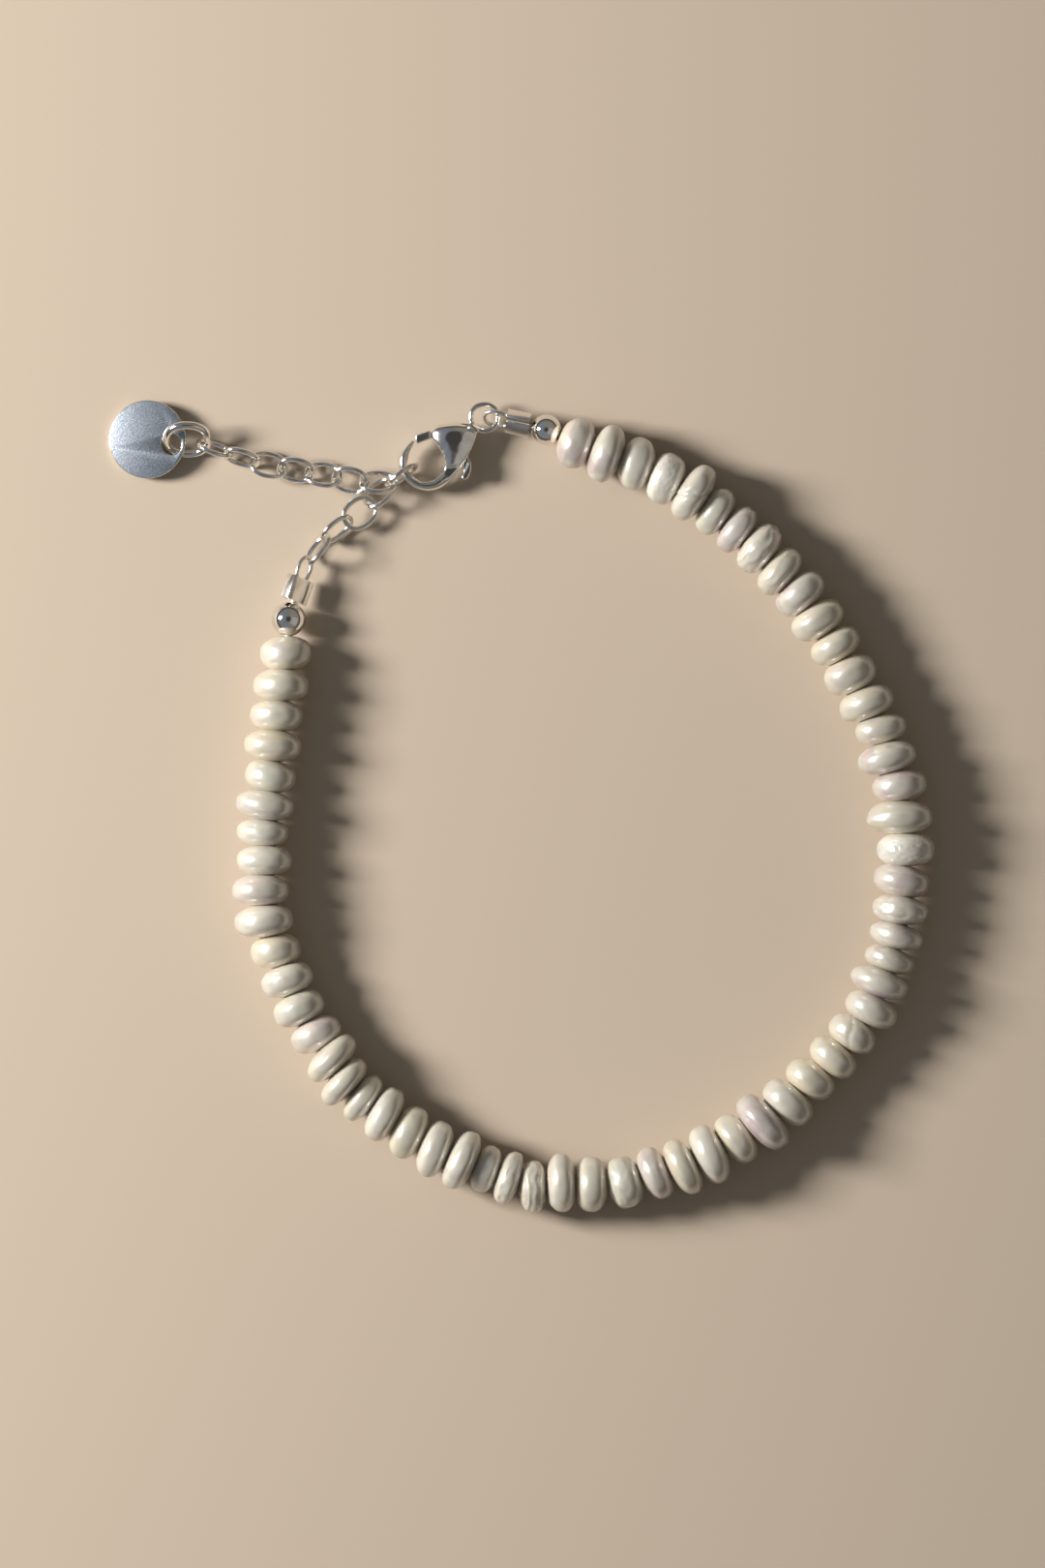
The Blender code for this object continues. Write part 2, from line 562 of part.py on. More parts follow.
def main():
    clear_scene()
    parts = new_collection("pearl_bracelet")
    helpers = new_collection("cutters")
    nacre = make_material("nacre", PEARL_CREAM, 0.25, 0.0)
    silver = make_material("silver", SILVER, 0.15, 1.0)
    brushed = make_material("brushed_silver", SILVER, 0.4, 1.0)

    # The clasp lies flat, with its ring at the start of the band
    ring_middle = plan_point(BAND_ROUTE[0])
    clasp_place = Matrix.Translation(ring_middle)
    make_clasp(parts, helpers, clasp_place, silver)
    lever = make_lever(parts, helpers, clasp_place, silver)
    pin_axis = bpy.data.objects.new("clasp_pin_axis", None)
    bpy.context.scene.collection.objects.link(pin_axis)
    pin_axis.matrix_world = clasp_place @ pivot_shift()
    lever.parent = pin_axis
    lever.matrix_parent_inverse = pin_axis.matrix_world.inverted()

    # Three links meet at the hook, and the band and the tail run on from there
    hook_link = ring_middle + Vector(HOOK_LINK_AT) * CLASP_LENGTH / 10
    middles = {name: hook_link + Vector(shift) * LINK_LENGTH for name, shift, _, _, _ in HOOK_LINKS}
    for name, _, turn, rise, roll in HOOK_LINKS:
        make_link(name, parts, frame_at(middles[name], heading_of(turn, rise), roll), silver)
    band_end = [hook_link + Vector(p) * MM for p in BAND_END]
    band = Route([plan_point(p) for p in BAND_ROUTE] + band_end + [middles["band_link_1"]])
    tail = Route([middles["tail_link_1"]] + [hook_link + Vector(p) * MM for p in TAIL_ROUTE])

    # From the ring: the crimp's loop hooks into it, then the crimp, the ball and the first pearl
    crimp_start = LOOP_REACH - LOOP_WIRE / 2
    crimp_point, _ = band.at(crimp_start)
    crimp_end, _ = band.at(crimp_start + CRIMP_LENGTH)
    clasp_crimp = frame_at(crimp_point, crimp_end - crimp_point, CLASP_CRIMP_ROLL)
    make_crimp("clasp_crimp", parts, helpers, clasp_crimp, CLASP_CRIMP_WIDTH, silver)
    first_ball = crimp_start + CRIMP_LENGTH + 2 * BALL_GAP + CLASP_BALL_DIAMETER / 2
    first_pearl = first_ball + CLASP_BALL_DIAMETER / 2 + BALL_GAP

    # From the hook: the chain's links, the crimp's loop, the crimp and the ball
    pitch = LINK_LENGTH - 2 * LINK_WIRE - LINK_PLAY
    for count, roll in enumerate(BAND_LINK_ROLLS, 1):
        make_link(f"band_link_{count + 1}", parts, frame_at(*band.at(band.length - count * pitch), roll), silver)
    last_link = band.length - len(BAND_LINK_ROLLS) * pitch
    loop_end = last_link - LINK_LENGTH / 2 + LINK_WIRE + LINK_PLAY + LOOP_WIRE
    last_crimp = loop_end - LOOP_REACH
    crimp_point, _ = band.at(last_crimp)
    crimp_end, _ = band.at(last_crimp - CRIMP_LENGTH)
    chain_crimp = frame_at(crimp_point, crimp_end - crimp_point, CHAIN_CRIMP_ROLL)
    make_crimp("chain_crimp", parts, helpers, chain_crimp, CHAIN_CRIMP_WIDTH, silver)
    last_ball = last_crimp - CRIMP_LENGTH - 2 * BALL_GAP - CHAIN_BALL_DIAMETER / 2
    last_pearl = last_ball - CHAIN_BALL_DIAMETER / 2 - BALL_GAP

    # The balls, the pearls between them and the thread through them all
    pearls = make_pearls(band, first_pearl, last_pearl)
    grip = (CRIMP_LENGTH + CRIMP_SOLID_END) / 2
    thread_line = [clasp_crimp @ Vector((grip, 0, 0)), band.at(first_ball)[0]]
    thread_line += [place.translation for place, _, _ in pearls]
    thread_line += [band.at(last_ball)[0], chain_crimp @ Vector((grip, 0, 0))]
    first_bore = frame_at(thread_line[1], thread_line[2] - thread_line[0])
    last_bore = frame_at(thread_line[-2], thread_line[-1] - thread_line[-3])
    make_ball("clasp_ball", parts, helpers, first_bore, CLASP_BALL_DIAMETER, silver)
    make_ball("chain_ball", parts, helpers, last_bore, CHAIN_BALL_DIAMETER, silver)
    make_string(parts, helpers, pearls, thread_line, nacre)

    # The tail: its links, the jump ring and the tag
    for count, roll in enumerate(TAIL_LINK_ROLLS, 1):
        make_link(f"tail_link_{count + 1}", parts, frame_at(*tail.at(count * pitch), roll), silver)
    last_tail = len(TAIL_LINK_ROLLS) * pitch
    grip, _ = tail.at(last_tail + LINK_LENGTH / 2 - LINK_WIRE - LINK_PLAY - JUMP_RING_WIRE / 2)
    ring_place = make_jump_ring(parts, grip, silver)
    make_tag(parts, helpers, tag_place_on(ring_place.translation), brushed)


main()
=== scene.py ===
"""Pearl bracelet: the fine shape and the finish of each piece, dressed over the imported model.

Pieces are shaped at the bench in millimetres about their own middle, and are then set down in metres
where the model's node lies.
"""

import math
import random

import bpy
import numpy as np
from mathutils import Matrix, Vector, noise


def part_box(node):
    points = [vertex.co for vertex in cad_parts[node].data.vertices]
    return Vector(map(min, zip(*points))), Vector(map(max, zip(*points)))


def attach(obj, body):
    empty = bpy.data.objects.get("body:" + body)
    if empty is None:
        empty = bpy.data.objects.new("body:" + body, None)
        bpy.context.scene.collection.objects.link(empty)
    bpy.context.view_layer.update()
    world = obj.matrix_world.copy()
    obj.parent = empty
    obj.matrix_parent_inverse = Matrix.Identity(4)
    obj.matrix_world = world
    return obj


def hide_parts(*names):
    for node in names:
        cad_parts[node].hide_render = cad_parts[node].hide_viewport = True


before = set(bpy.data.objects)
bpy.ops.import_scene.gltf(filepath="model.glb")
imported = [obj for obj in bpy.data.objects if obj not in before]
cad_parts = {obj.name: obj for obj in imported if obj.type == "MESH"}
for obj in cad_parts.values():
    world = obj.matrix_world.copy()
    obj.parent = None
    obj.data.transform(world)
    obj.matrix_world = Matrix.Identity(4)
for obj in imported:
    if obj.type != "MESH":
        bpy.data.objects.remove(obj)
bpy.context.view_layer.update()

# The table top. It isn't part of the bracelet: a plain, pale, warm matt board that the bracelet lies on,
# as wide as the light reaches.
MM = 0.001
TABLE_WIDTH = 3.0
TABLE_COLOUR = (0.46, 0.385, 0.31, 1)
TABLE_ROUGHNESS = 0.85
TABLE_SHINE = 0.2


def pick_nothing():
    """Nothing is left selected, so the next operator works on the next piece alone."""
    bpy.ops.object.select_all(action="DESELECT")


def add_node(tree, kind, inputs=None, **settings):
    """Adds a shader node, sets it and joins or sets its inputs, by name or by number."""
    node = tree.nodes.new(kind)
    for name, value in settings.items():
        setattr(node, name, value)
    for name, value in (inputs or {}).items():
        if isinstance(value, bpy.types.NodeSocket):
            tree.links.new(value, node.inputs[name])
        else:
            node.inputs[name].default_value = value
    return node


def new_finish(name, **values):
    """A material, its tree and its Principled shader, with the shader's own sockets set."""
    finish = bpy.data.materials.new(name)
    finish.use_nodes = True
    shader = finish.node_tree.nodes["Principled BSDF"]
    for socket, value in values.items():
        shader.inputs[socket.replace("_", " ")].default_value = value
    return finish, finish.node_tree, shader


pick_nothing()
bpy.ops.mesh.primitive_plane_add(size=TABLE_WIDTH)
table_top = bpy.context.object
table_top.name = table_top.data.name = "table_top"
board, _, _ = new_finish(
    "pale_board", Base_Color=TABLE_COLOUR, Roughness=TABLE_ROUGHNESS, Specular_IOR_Level=TABLE_SHINE
)
table_top.data.materials.append(board)

# The light. A soft lamp low on the left gives each pearl its one bright mark and a shadow to the right. A
# wide, weak one fills the shadows. The pale room is bluish on the left and warmer on the right, and darker
# low down and straight overhead, so that polished silver shows its form.
LAMP_TURN = 168
LAMP_RISE = 30
LAMP_DISTANCE = 0.45
LAMP_WIDTH = 0.12
LAMP_POWER = 4.3
LAMP_COLOUR = (1.0, 0.965, 0.91)
FILL_TURN = -20
FILL_RISE = 50
FILL_DISTANCE = 0.9
FILL_WIDTH = 0.8
FILL_POWER = 0.25
FILL_COLOUR = (0.93, 0.96, 1.0)
ROOM_STRENGTH = 0.40
ROOM_LEFT = (0.43, 0.48, 0.56, 1)
ROOM_RIGHT = (0.52, 0.48, 0.40, 1)
ROOM_LOW = (0.20, 0.155, 0.12, 1)
ROOM_OVERHEAD = (0.12, 0.115, 0.105, 1)
LEFT_TO_RIGHT = (-0.35, 0.30)
LOW_TO_SIDES = (0.10, 0.45)
SIDES_TO_OVERHEAD = (0.91, 0.995)


def add_lamp(name, turn, rise, distance, width, power, colour):
    """A square lamp that looks at the middle of the bracelet."""
    turn, rise = math.radians(turn), math.radians(rise)
    towards = Vector((math.cos(turn) * math.cos(rise), math.sin(turn) * math.cos(rise), math.sin(rise)))
    facing = towards.to_track_quat("Z", "Y").to_euler()
    pick_nothing()
    bpy.ops.object.light_add(type="AREA", location=towards * distance, rotation=facing)
    lamp = bpy.context.object
    lamp.name = lamp.data.name = name
    lamp.data.size = width
    lamp.data.energy = power
    lamp.data.color = colour


add_lamp("lamp", LAMP_TURN, LAMP_RISE, LAMP_DISTANCE, LAMP_WIDTH, LAMP_POWER, LAMP_COLOUR)
add_lamp("fill_lamp", FILL_TURN, FILL_RISE, FILL_DISTANCE, FILL_WIDTH, FILL_POWER, FILL_COLOUR)

room = bpy.data.worlds.new("pale_room")
bpy.context.scene.world = room
room.use_nodes = True
sky = room.node_tree
sky_place = add_node(sky, "ShaderNodeTexCoord")
sky_parts = add_node(sky, "ShaderNodeSeparateXYZ", {0: sky_place.outputs["Generated"]})


def mix_colours(tree, factor, first, second, blend="MIX"):
    """Mixes two colours by a factor, and gives the socket of the result."""
    inputs = {0: factor, 6: first, 7: second}
    return add_node(tree, "ShaderNodeMix", inputs, data_type="RGBA", blend_type=blend).outputs[2]


def ranged(tree, value, low, high, to_low, to_high):
    """Maps a value from one range to another, held within it, and gives the socket of the result."""
    inputs = {0: value, 1: low, 2: high, 3: to_low, 4: to_high}
    node = add_node(tree, "ShaderNodeMapRange", inputs, clamp=True, interpolation_type="SMOOTHSTEP")
    return node.outputs[0]


sky_across, sky_up = sky_parts.outputs["X"], sky_parts.outputs["Z"]
sky_sides = mix_colours(sky, ranged(sky, sky_across, *LEFT_TO_RIGHT, 0.0, 1.0), ROOM_LEFT, ROOM_RIGHT)
sky_low = mix_colours(sky, ranged(sky, sky_up, *LOW_TO_SIDES, 0.0, 1.0), ROOM_LOW, sky_sides)
sky_colour = mix_colours(sky, ranged(sky, sky_up, *SIDES_TO_OVERHEAD, 0.0, 1.0), sky_low, ROOM_OVERHEAD)
room_light = sky.nodes["Background"]
sky.links.new(sky_colour, room_light.inputs["Color"])
room_light.inputs["Strength"].default_value = ROOM_STRENGTH

# The camera looks straight down, as the photograph does.
VIEW_MIDDLE = (0.101, 1.756, 2.0)
VIEW_HEIGHT = 127.2
CAMERA_LENS = 200
CAMERA_FILM = 36

pick_nothing()
camera_rise = VIEW_HEIGHT * CAMERA_LENS / CAMERA_FILM
camera_place = (Vector(VIEW_MIDDLE) + Vector((0, 0, camera_rise))) * MM
bpy.ops.object.camera_add(location=camera_place, rotation=(0, 0, 0))
camera = bpy.context.object
camera.data.sensor_fit = "VERTICAL"
camera.data.sensor_height = CAMERA_FILM
camera.data.lens = CAMERA_LENS
camera.data.clip_start = 0.01
bpy.context.scene.camera = camera
bpy.context.scene.view_settings.view_transform = "Standard"

# The chain. Its twelve links are ovals of round silver wire, each closed with a soldered joint on one long
# side and polished: the hook's link, four towards the crimp and seven in the loose tail.
LINK_LENGTH = 3.22
LINK_WIDTH = 2.6
LINK_WIRE = 0.42
OVAL_ROUNDING = 0.9
WIRE_SIDES = 16
WIRE_STEPS = 64
SOLDER_SWELL = 0.09
SOLDER_REACH = 0.07
SILVER_BRIGHT = (0.94, 0.925, 0.895, 1)
SILVER_DULL = (0.80, 0.775, 0.73, 1)
MOTTLE_SCALE = 700
HAIRLINE_SCALE = (1500, 26000, 1500)
CROSS_HAIRLINE_SCALE = (21000, 1300, 1800)
DIMPLE_SCALE = 5200
DIMPLE_HEIGHT = 0.35
SCRATCH_EDGE = (0.60, 0.74)
SCRATCH_DULLING = 0.16
MOTTLE_EDGE = (0.42, 0.68)
MOTTLE_DULLING = 0.06
BUMP_STRENGTH = 0.6
LINK_NODES = ["hook_link"] + [f"band_link_{n}" for n in range(1, 5)] + [f"tail_link_{n}" for n in range(1, 8)]


def work_on(piece):
    """Selects this piece alone."""
    pick_nothing()
    piece.select_set(True)
    bpy.context.view_layer.objects.active = piece


def change(piece, kind, **values):
    """Gives the piece a modifier with these values and applies it."""
    work_on(piece)
    made = piece.modifiers.new(kind.lower(), kind)
    for name, value in values.items():
        setattr(made, name, value)
    bpy.ops.object.modifier_apply(modifier=made.name)


def lie_of(node):
    """Where a CAD node lies: its middle, its longest way along X and its thinnest way along Z, upwards."""
    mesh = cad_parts[node].data
    corners = np.array([[mesh.vertices[i].co for i in face.vertices] for face in mesh.polygons])
    areas = np.array([face.area for face in mesh.polygons])
    middle = (corners.mean(axis=1) * areas[:, None]).sum(axis=0) / areas.sum()
    corners = corners - middle
    sums = corners.sum(axis=1)
    spread = np.einsum("f,fki,fkj->ij", areas, corners, corners) + np.einsum("f,fi,fj->ij", areas, sums, sums)
    axes = np.linalg.eigh(spread)[1]
    along, thin = Vector(axes[:, 2]), Vector(axes[:, 0])
    thin = thin if thin.z > 0 else -thin
    turn = Matrix((along, thin.cross(along), thin)).transposed().to_4x4()
    return Matrix.Translation(Vector(middle)) @ turn


def set_down(piece, name, place, finish, slot, body, *nodes):
    """Puts a piece from the bench in its place on the bracelet, in metres, with its finish, body and node."""
    work_on(piece)
    piece.name = piece.data.name = name
    piece.data.transform(place @ Matrix.Scale(MM, 4))
    if finish:
        piece.data.materials.clear()
        piece.data.materials.append(finish)
    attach(piece, body)
    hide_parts(*nodes)


def same_again(piece):
    """A copy of a bench piece with its own mesh."""
    made = piece.copy()
    made.data = piece.data.copy()
    bpy.context.scene.collection.objects.link(made)
    return made


def wire_oval(length, width, wire, swell=0.0):
    """A closed oval of round wire on the bench, flat in X and Y, its joint swollen by a share at +Y."""
    pick_nothing()
    bpy.ops.mesh.primitive_torus_add(
        major_segments=WIRE_STEPS, minor_segments=WIRE_SIDES, major_radius=length, minor_radius=wire / 2
    )
    made = bpy.context.object
    half_length, half_width = (length - wire) / 2, (width - wire) / 2
    for vert in made.data.vertices:
        turn = math.atan2(vert.co.y, vert.co.x)
        ways = (math.cos(turn), math.sin(turn))
        line = [math.copysign(abs(way) ** OVAL_ROUNDING, way) for way in ways]
        slope = [math.copysign(abs(way) ** (2 - OVAL_ROUNDING), way) for way in ways]
        outwards = Vector((slope[0] / half_length, slope[1] / half_width, 0)).normalized()
        fullness = 1 + swell * math.exp(-(((turn - math.pi / 2) / SOLDER_REACH) ** 2))
        out = (math.hypot(vert.co.x, vert.co.y) - length) * fullness
        middle = Vector((half_length * line[0], half_width * line[1], 0))
        vert.co = middle + outwards * out + Vector((0, 0, vert.co.z * fullness))
    bpy.ops.object.shade_smooth()
    return made


def arithmetic(tree, operation, first, second):
    """One sum on two values, and gives the socket of the result."""
    return add_node(tree, "ShaderNodeMath", {0: first, 1: second}, operation=operation).outputs[0]


def hairlines(tree, vector, scale, turn):
    """A mask of fine scratches that run one way."""
    turned = add_node(tree, "ShaderNodeMapping", {"Vector": vector, "Rotation": turn, "Scale": scale})
    grain = add_node(tree, "ShaderNodeTexNoise", {"Vector": turned.outputs[0], "Scale": 1, "Detail": 3})
    return ranged(tree, grain.outputs[0], *SCRATCH_EDGE, 0.0, 1.0)


def new_silver_marks():
    """The marks of handling on silver: mottled colour, hairline scratches and faint dimples."""
    group = bpy.data.node_groups.new("silver_marks", "ShaderNodeTree")
    for name, kind in (("Bright", "Color"), ("Dull", "Color"), ("Polish", "Float"), ("Scratches", "Float")):
        group.interface.new_socket(name, in_out="INPUT", socket_type="NodeSocket" + kind)
    for name, kind in (("Colour", "Color"), ("Roughness", "Float"), ("Height", "Float")):
        group.interface.new_socket(name, in_out="OUTPUT", socket_type="NodeSocket" + kind)
    given = add_node(group, "NodeGroupInput").outputs
    place = add_node(group, "ShaderNodeTexCoord").outputs["Object"]
    mottle = add_node(group, "ShaderNodeTexNoise", {"Vector": place, "Scale": MOTTLE_SCALE, "Detail": 4})
    patches = ranged(group, mottle.outputs[0], *MOTTLE_EDGE, 0.0, 1.0)
    lines = arithmetic(
        group, "MAXIMUM",
        hairlines(group, place, HAIRLINE_SCALE, (0.3, 0.4, 0.5)),
        hairlines(group, place, CROSS_HAIRLINE_SCALE, (0.7, 0.1, -0.6)),
    )
    lines = arithmetic(group, "MULTIPLY", lines, given["Scratches"])
    dimples = add_node(group, "ShaderNodeTexNoise", {"Vector": place, "Scale": DIMPLE_SCALE, "Detail": 2})
    colour = mix_colours(group, patches, given["Bright"], given["Dull"])
    rough = arithmetic(group, "ADD", arithmetic(group, "MULTIPLY", patches, MOTTLE_DULLING), given["Polish"])
    rough = arithmetic(group, "ADD", rough, arithmetic(group, "MULTIPLY", lines, SCRATCH_DULLING))
    high = arithmetic(group, "MULTIPLY", dimples.outputs[0], DIMPLE_HEIGHT)
    high = arithmetic(group, "SUBTRACT", high, lines)
    add_node(group, "NodeGroupOutput", {"Colour": colour, "Roughness": rough, "Height": high})
    return group


def silver_finish(name, polish, scratches, depth, bright=SILVER_BRIGHT, dull=SILVER_DULL):
    """Polished silver: the group's marks on the shader, their depth in metres."""
    finish, tree, shader = new_finish(name, Metallic=1.0)
    inputs = {"Bright": bright, "Dull": dull, "Polish": polish, "Scratches": scratches}
    marks = add_node(tree, "ShaderNodeGroup", node_tree=silver_marks)
    for socket, value in inputs.items():
        marks.inputs[socket].default_value = value
    relief = {"Height": marks.outputs["Height"], "Distance": depth, "Strength": BUMP_STRENGTH}
    bump = add_node(tree, "ShaderNodeBump", relief)
    tree.links.new(marks.outputs["Colour"], shader.inputs["Base Color"])
    tree.links.new(marks.outputs["Roughness"], shader.inputs["Roughness"])
    tree.links.new(bump.outputs["Normal"], shader.inputs["Normal"])
    return finish


silver_marks = new_silver_marks()
polished_wire = silver_finish("polished_wire", 0.09, 0.4, 0.000002)
link_master = wire_oval(LINK_LENGTH, LINK_WIDTH, LINK_WIRE, SOLDER_SWELL)
for count, node in enumerate(LINK_NODES):
    joint_side = Matrix.Rotation(math.pi * (count % 2), 4, "Z")
    link = same_again(link_master)
    set_down(link, node + "_wire", lie_of(node) @ joint_side, polished_wire, "silver", "bracelet", node)
bpy.data.objects.remove(link_master)

# The jump ring. A heavier round ring of drawn wire, cut once and closed by hand, that joins the tail's
# last link to the tag.
JUMP_RING_WIDTH = 4.0
JUMP_RING_WIRE = 0.66
JUMP_CUT_DEPTH = -0.16

jump_ring = wire_oval(JUMP_RING_WIDTH, JUMP_RING_WIDTH, JUMP_RING_WIRE, JUMP_CUT_DEPTH)
ring_silver = silver_finish("ring_silver", 0.08, 0.4, 0.000002)
set_down(jump_ring, "jump_ring_wire", lie_of("jump_ring"), ring_silver, "silver", "bracelet", "jump_ring")

# The tag. A round blank of sheet silver with a hole near its edge, tumbled to a fine speckled grain on its
# faces and burnished bright round its rim. The bluish light and dark grey of its faces is a painted
# reflection of a blue-grey sky laid over that grain.
TAG_WIDTH = 6.35
TAG_THICKNESS = 0.4
TAG_SIDES = 192
TAG_HOLE = 1.7
TAG_RIM = 0.28
TAG_EDGE_ROUND = 0.07
GRAIN_SCALE = 7600
FLECK_SCALE = 10500
# Painted reflection: the faces' light and dark bluish greys stand in for a blue-grey sky seen in the tumbled
# grain.
FACE_PAINTED_SKY_LIGHT = (0.66, 0.70, 0.76, 1)
FACE_PAINTED_SKY_DARK = (0.20, 0.24, 0.30, 1)
FACE_PATCH_EDGE = (0.42, 0.60)
FACE_ROUGHNESS = (0.34, 0.24)
FACE_RELIEF = 0.000008
FACE_FLATNESS = 0.99


def round_bar(width, height, sides, middle=(0, 0, 0)):
    """A round bar standing on the bench."""
    pick_nothing()
    bpy.ops.mesh.primitive_cylinder_add(vertices=sides, radius=width / 2, depth=height, location=middle)
    bpy.ops.object.transform_apply()
    return bpy.context.object


def cut_away(piece, tool):
    """Cuts the tool's shape out of the piece."""
    change(piece, "BOOLEAN", operation="DIFFERENCE", object=tool, solver="EXACT")
    bpy.data.objects.remove(tool)


def speckled_silver_painted_sky():
    """Tumbled sheet silver: flecks of light and dark with a fine relief. Their bluish greys are a painted
    reflection of a blue-grey sky; the fleck pattern is the grain.
    """
    finish, tree, shader = new_finish("speckled_silver_painted_sky", Metallic=1.0)
    place = add_node(tree, "ShaderNodeTexCoord").outputs["Object"]
    speckle = {"Vector": place, "Scale": GRAIN_SCALE, "Detail": 5, "Roughness": 0.7}
    grain = add_node(tree, "ShaderNodeTexNoise", speckle)
    flecks = add_node(tree, "ShaderNodeTexVoronoi", {"Vector": place, "Scale": FLECK_SCALE})
    patches = ranged(tree, grain.outputs[0], *FACE_PATCH_EDGE, 0.0, 1.0)
    # Painted reflection of a blue-grey sky in the grain: dark and light bluish greys by the grain's patches,
    # lighter at its flecks.
    colour = mix_colours(tree, patches, FACE_PAINTED_SKY_DARK, FACE_PAINTED_SKY_LIGHT)
    apart = flecks.outputs["Distance"]
    colour = mix_colours(tree, ranged(tree, apart, 0.0, 0.35, 0.5, 0.0), colour, FACE_PAINTED_SKY_LIGHT)
    rough = ranged(tree, grain.outputs[0], 0.35, 0.65, *FACE_ROUGHNESS)
    high = arithmetic(tree, "ADD", grain.outputs[0], arithmetic(tree, "MULTIPLY", apart, 0.5))
    bump = add_node(tree, "ShaderNodeBump", {"Height": high, "Distance": FACE_RELIEF, "Strength": 0.7})
    tree.links.new(colour, shader.inputs["Base Color"])
    tree.links.new(rough, shader.inputs["Roughness"])
    tree.links.new(bump.outputs["Normal"], shader.inputs["Normal"])
    return finish


tag_disc = round_bar(TAG_WIDTH, TAG_THICKNESS, TAG_SIDES)
hole_reach = TAG_WIDTH / 2 - TAG_RIM - TAG_HOLE / 2
cut_away(tag_disc, round_bar(TAG_HOLE, 2 * TAG_THICKNESS, TAG_SIDES // 3, (hole_reach, 0, 0)))
change(tag_disc, "BEVEL", width=TAG_EDGE_ROUND, segments=4, limit_method="ANGLE")
bpy.ops.object.shade_smooth_by_angle(angle=math.radians(35))
tag_disc.data.materials.append(speckled_silver_painted_sky())
tag_disc.data.materials.append(silver_finish("burnished_rim", 0.12, 0.4, 0.000002))
for face in tag_disc.data.polygons:
    face.material_index = 0 if abs(face.normal.z) > FACE_FLATNESS else 1
tag_lie = lie_of("tag")
low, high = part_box("tag")
tag_middle = (Vector(low) + Vector(high)) / 2
tag_up = tag_lie.to_3x3() @ Vector((0, 0, 1))
to_hole = tag_middle - tag_lie.translation
to_hole = (to_hole - tag_up * to_hole.dot(tag_up)).normalized()
tag_turn = Matrix((to_hole, tag_up.cross(to_hole), tag_up)).transposed().to_4x4()
tag_place = Matrix.Translation(tag_middle) @ tag_turn
set_down(tag_disc, "tag_disc", tag_place, None, "brushed_silver", "bracelet", "tag")

# The end balls. Two hollow silver beads, drilled for the thread and polished, one at each end of the pearls.
CLASP_BALL_WIDTH = 2.5
CHAIN_BALL_WIDTH = 2.8
BALL_BORE_SHARE = 0.20
BALL_SEGMENTS = 64
BALL_RINGS = 32


def pick_points(piece, test):
    """Opens the piece for editing with only the points selected that pass the test."""
    work_on(piece)
    bpy.ops.object.mode_set(mode="EDIT")
    bpy.ops.mesh.select_mode(type="VERT")
    bpy.ops.mesh.select_all(action="DESELECT")
    bpy.ops.object.mode_set(mode="OBJECT")
    for vert in piece.data.vertices:
        vert.select = test(vert.co)
    bpy.ops.object.mode_set(mode="EDIT")


def bored_round(segments, rings, bore_share):
    """A ball of radius 1 on the bench, with a hole of this share of its width through it along X."""
    pick_nothing()
    bpy.ops.mesh.primitive_uv_sphere_add(segments=segments, ring_count=rings, radius=1)
    made = bpy.context.object
    made.data.transform(Matrix.Rotation(math.pi / 2, 4, "Y"))
    pick_points(made, lambda point: math.hypot(point.y, point.z) < bore_share)
    bpy.ops.mesh.delete(type="VERT")
    bpy.ops.mesh.select_mode(type="EDGE")
    bpy.ops.mesh.select_non_manifold()
    bpy.ops.mesh.bridge_edge_loops()
    bpy.ops.mesh.select_all(action="SELECT")
    bpy.ops.mesh.normals_make_consistent(inside=False)
    bpy.ops.object.mode_set(mode="OBJECT")
    return made


def middle_of(node):
    low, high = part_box(node)
    return (Vector(low) + Vector(high)) / 2


def bore_lie(node, towards):
    """Where a ball lies: its middle, with its bore along X towards a point."""
    middle = middle_of(node)
    turn = (towards - middle).to_track_quat("X", "Z").to_matrix().to_4x4()
    return Matrix.Translation(middle) @ turn


ball_silver = silver_finish("ball_silver", 0.05, 0.3, 0.000001)
for node, width, crimp in (
    ("clasp_ball", CLASP_BALL_WIDTH, "clasp_crimp"), ("chain_ball", CHAIN_BALL_WIDTH, "chain_crimp")
):
    ball = bored_round(BALL_SEGMENTS, BALL_RINGS, BALL_BORE_SHARE)
    ball.data.transform(Matrix.Scale(width / 2, 4))
    bpy.ops.object.shade_smooth_by_angle(angle=math.radians(50))
    ball_lie = bore_lie(node, lie_of(crimp).translation)
    set_down(ball, node + "_shell", ball_lie, ball_silver, "silver", "bracelet", node)

# The crimp ends. Each is a strip of silver folded round the end of the thread until its two edges meet on the
# broad face, with a loop of round wire soldered in its closed end.
CRIMP_LENGTH = 1.95
CRIMP_THICKNESS = 1.05
CRIMP_WALL = 0.2
CRIMP_CORNER = 0.17
CRIMP_SEAM = 0.05
CRIMP_SEAM_AT = 0.22
CRIMP_TONGUE = 0.5
CRIMP_TONGUE_INSET = 0.04
CRIMP_TONGUE_ROUND = 0.1
CRIMP_EDGE_ROUND = 0.035
CORNER_STEPS = 4
CLASP_CRIMP_WIDTH = 1.9
CHAIN_CRIMP_WIDTH = 2.4
LOOP_WIRE = 0.34
LOOP_REACH = 2.0
LOOP_WIDTH = 1.8


def fold_line(width):
    """The strip's path round the crimp from edge to edge at its seam: y and z of each point."""
    half_width, half_height = width / 2, CRIMP_THICKNESS / 2
    seam = width * CRIMP_SEAM_AT
    points = [(seam - CRIMP_SEAM / 2, half_height)]
    corners = [(-1, 1, 90), (-1, -1, 180), (1, -1, 270), (1, 1, 360)]
    for side, rise, first in corners:
        middle = (side * (half_width - CRIMP_CORNER), rise * (half_height - CRIMP_CORNER))
        for step in range(CORNER_STEPS + 1):
            turn = math.radians(first + 90 * step / CORNER_STEPS)
            reach = CRIMP_CORNER * math.cos(turn), CRIMP_CORNER * math.sin(turn)
            points.append((middle[0] + reach[0], middle[1] + reach[1]))
    return points + [(seam + CRIMP_SEAM / 2, half_height)]


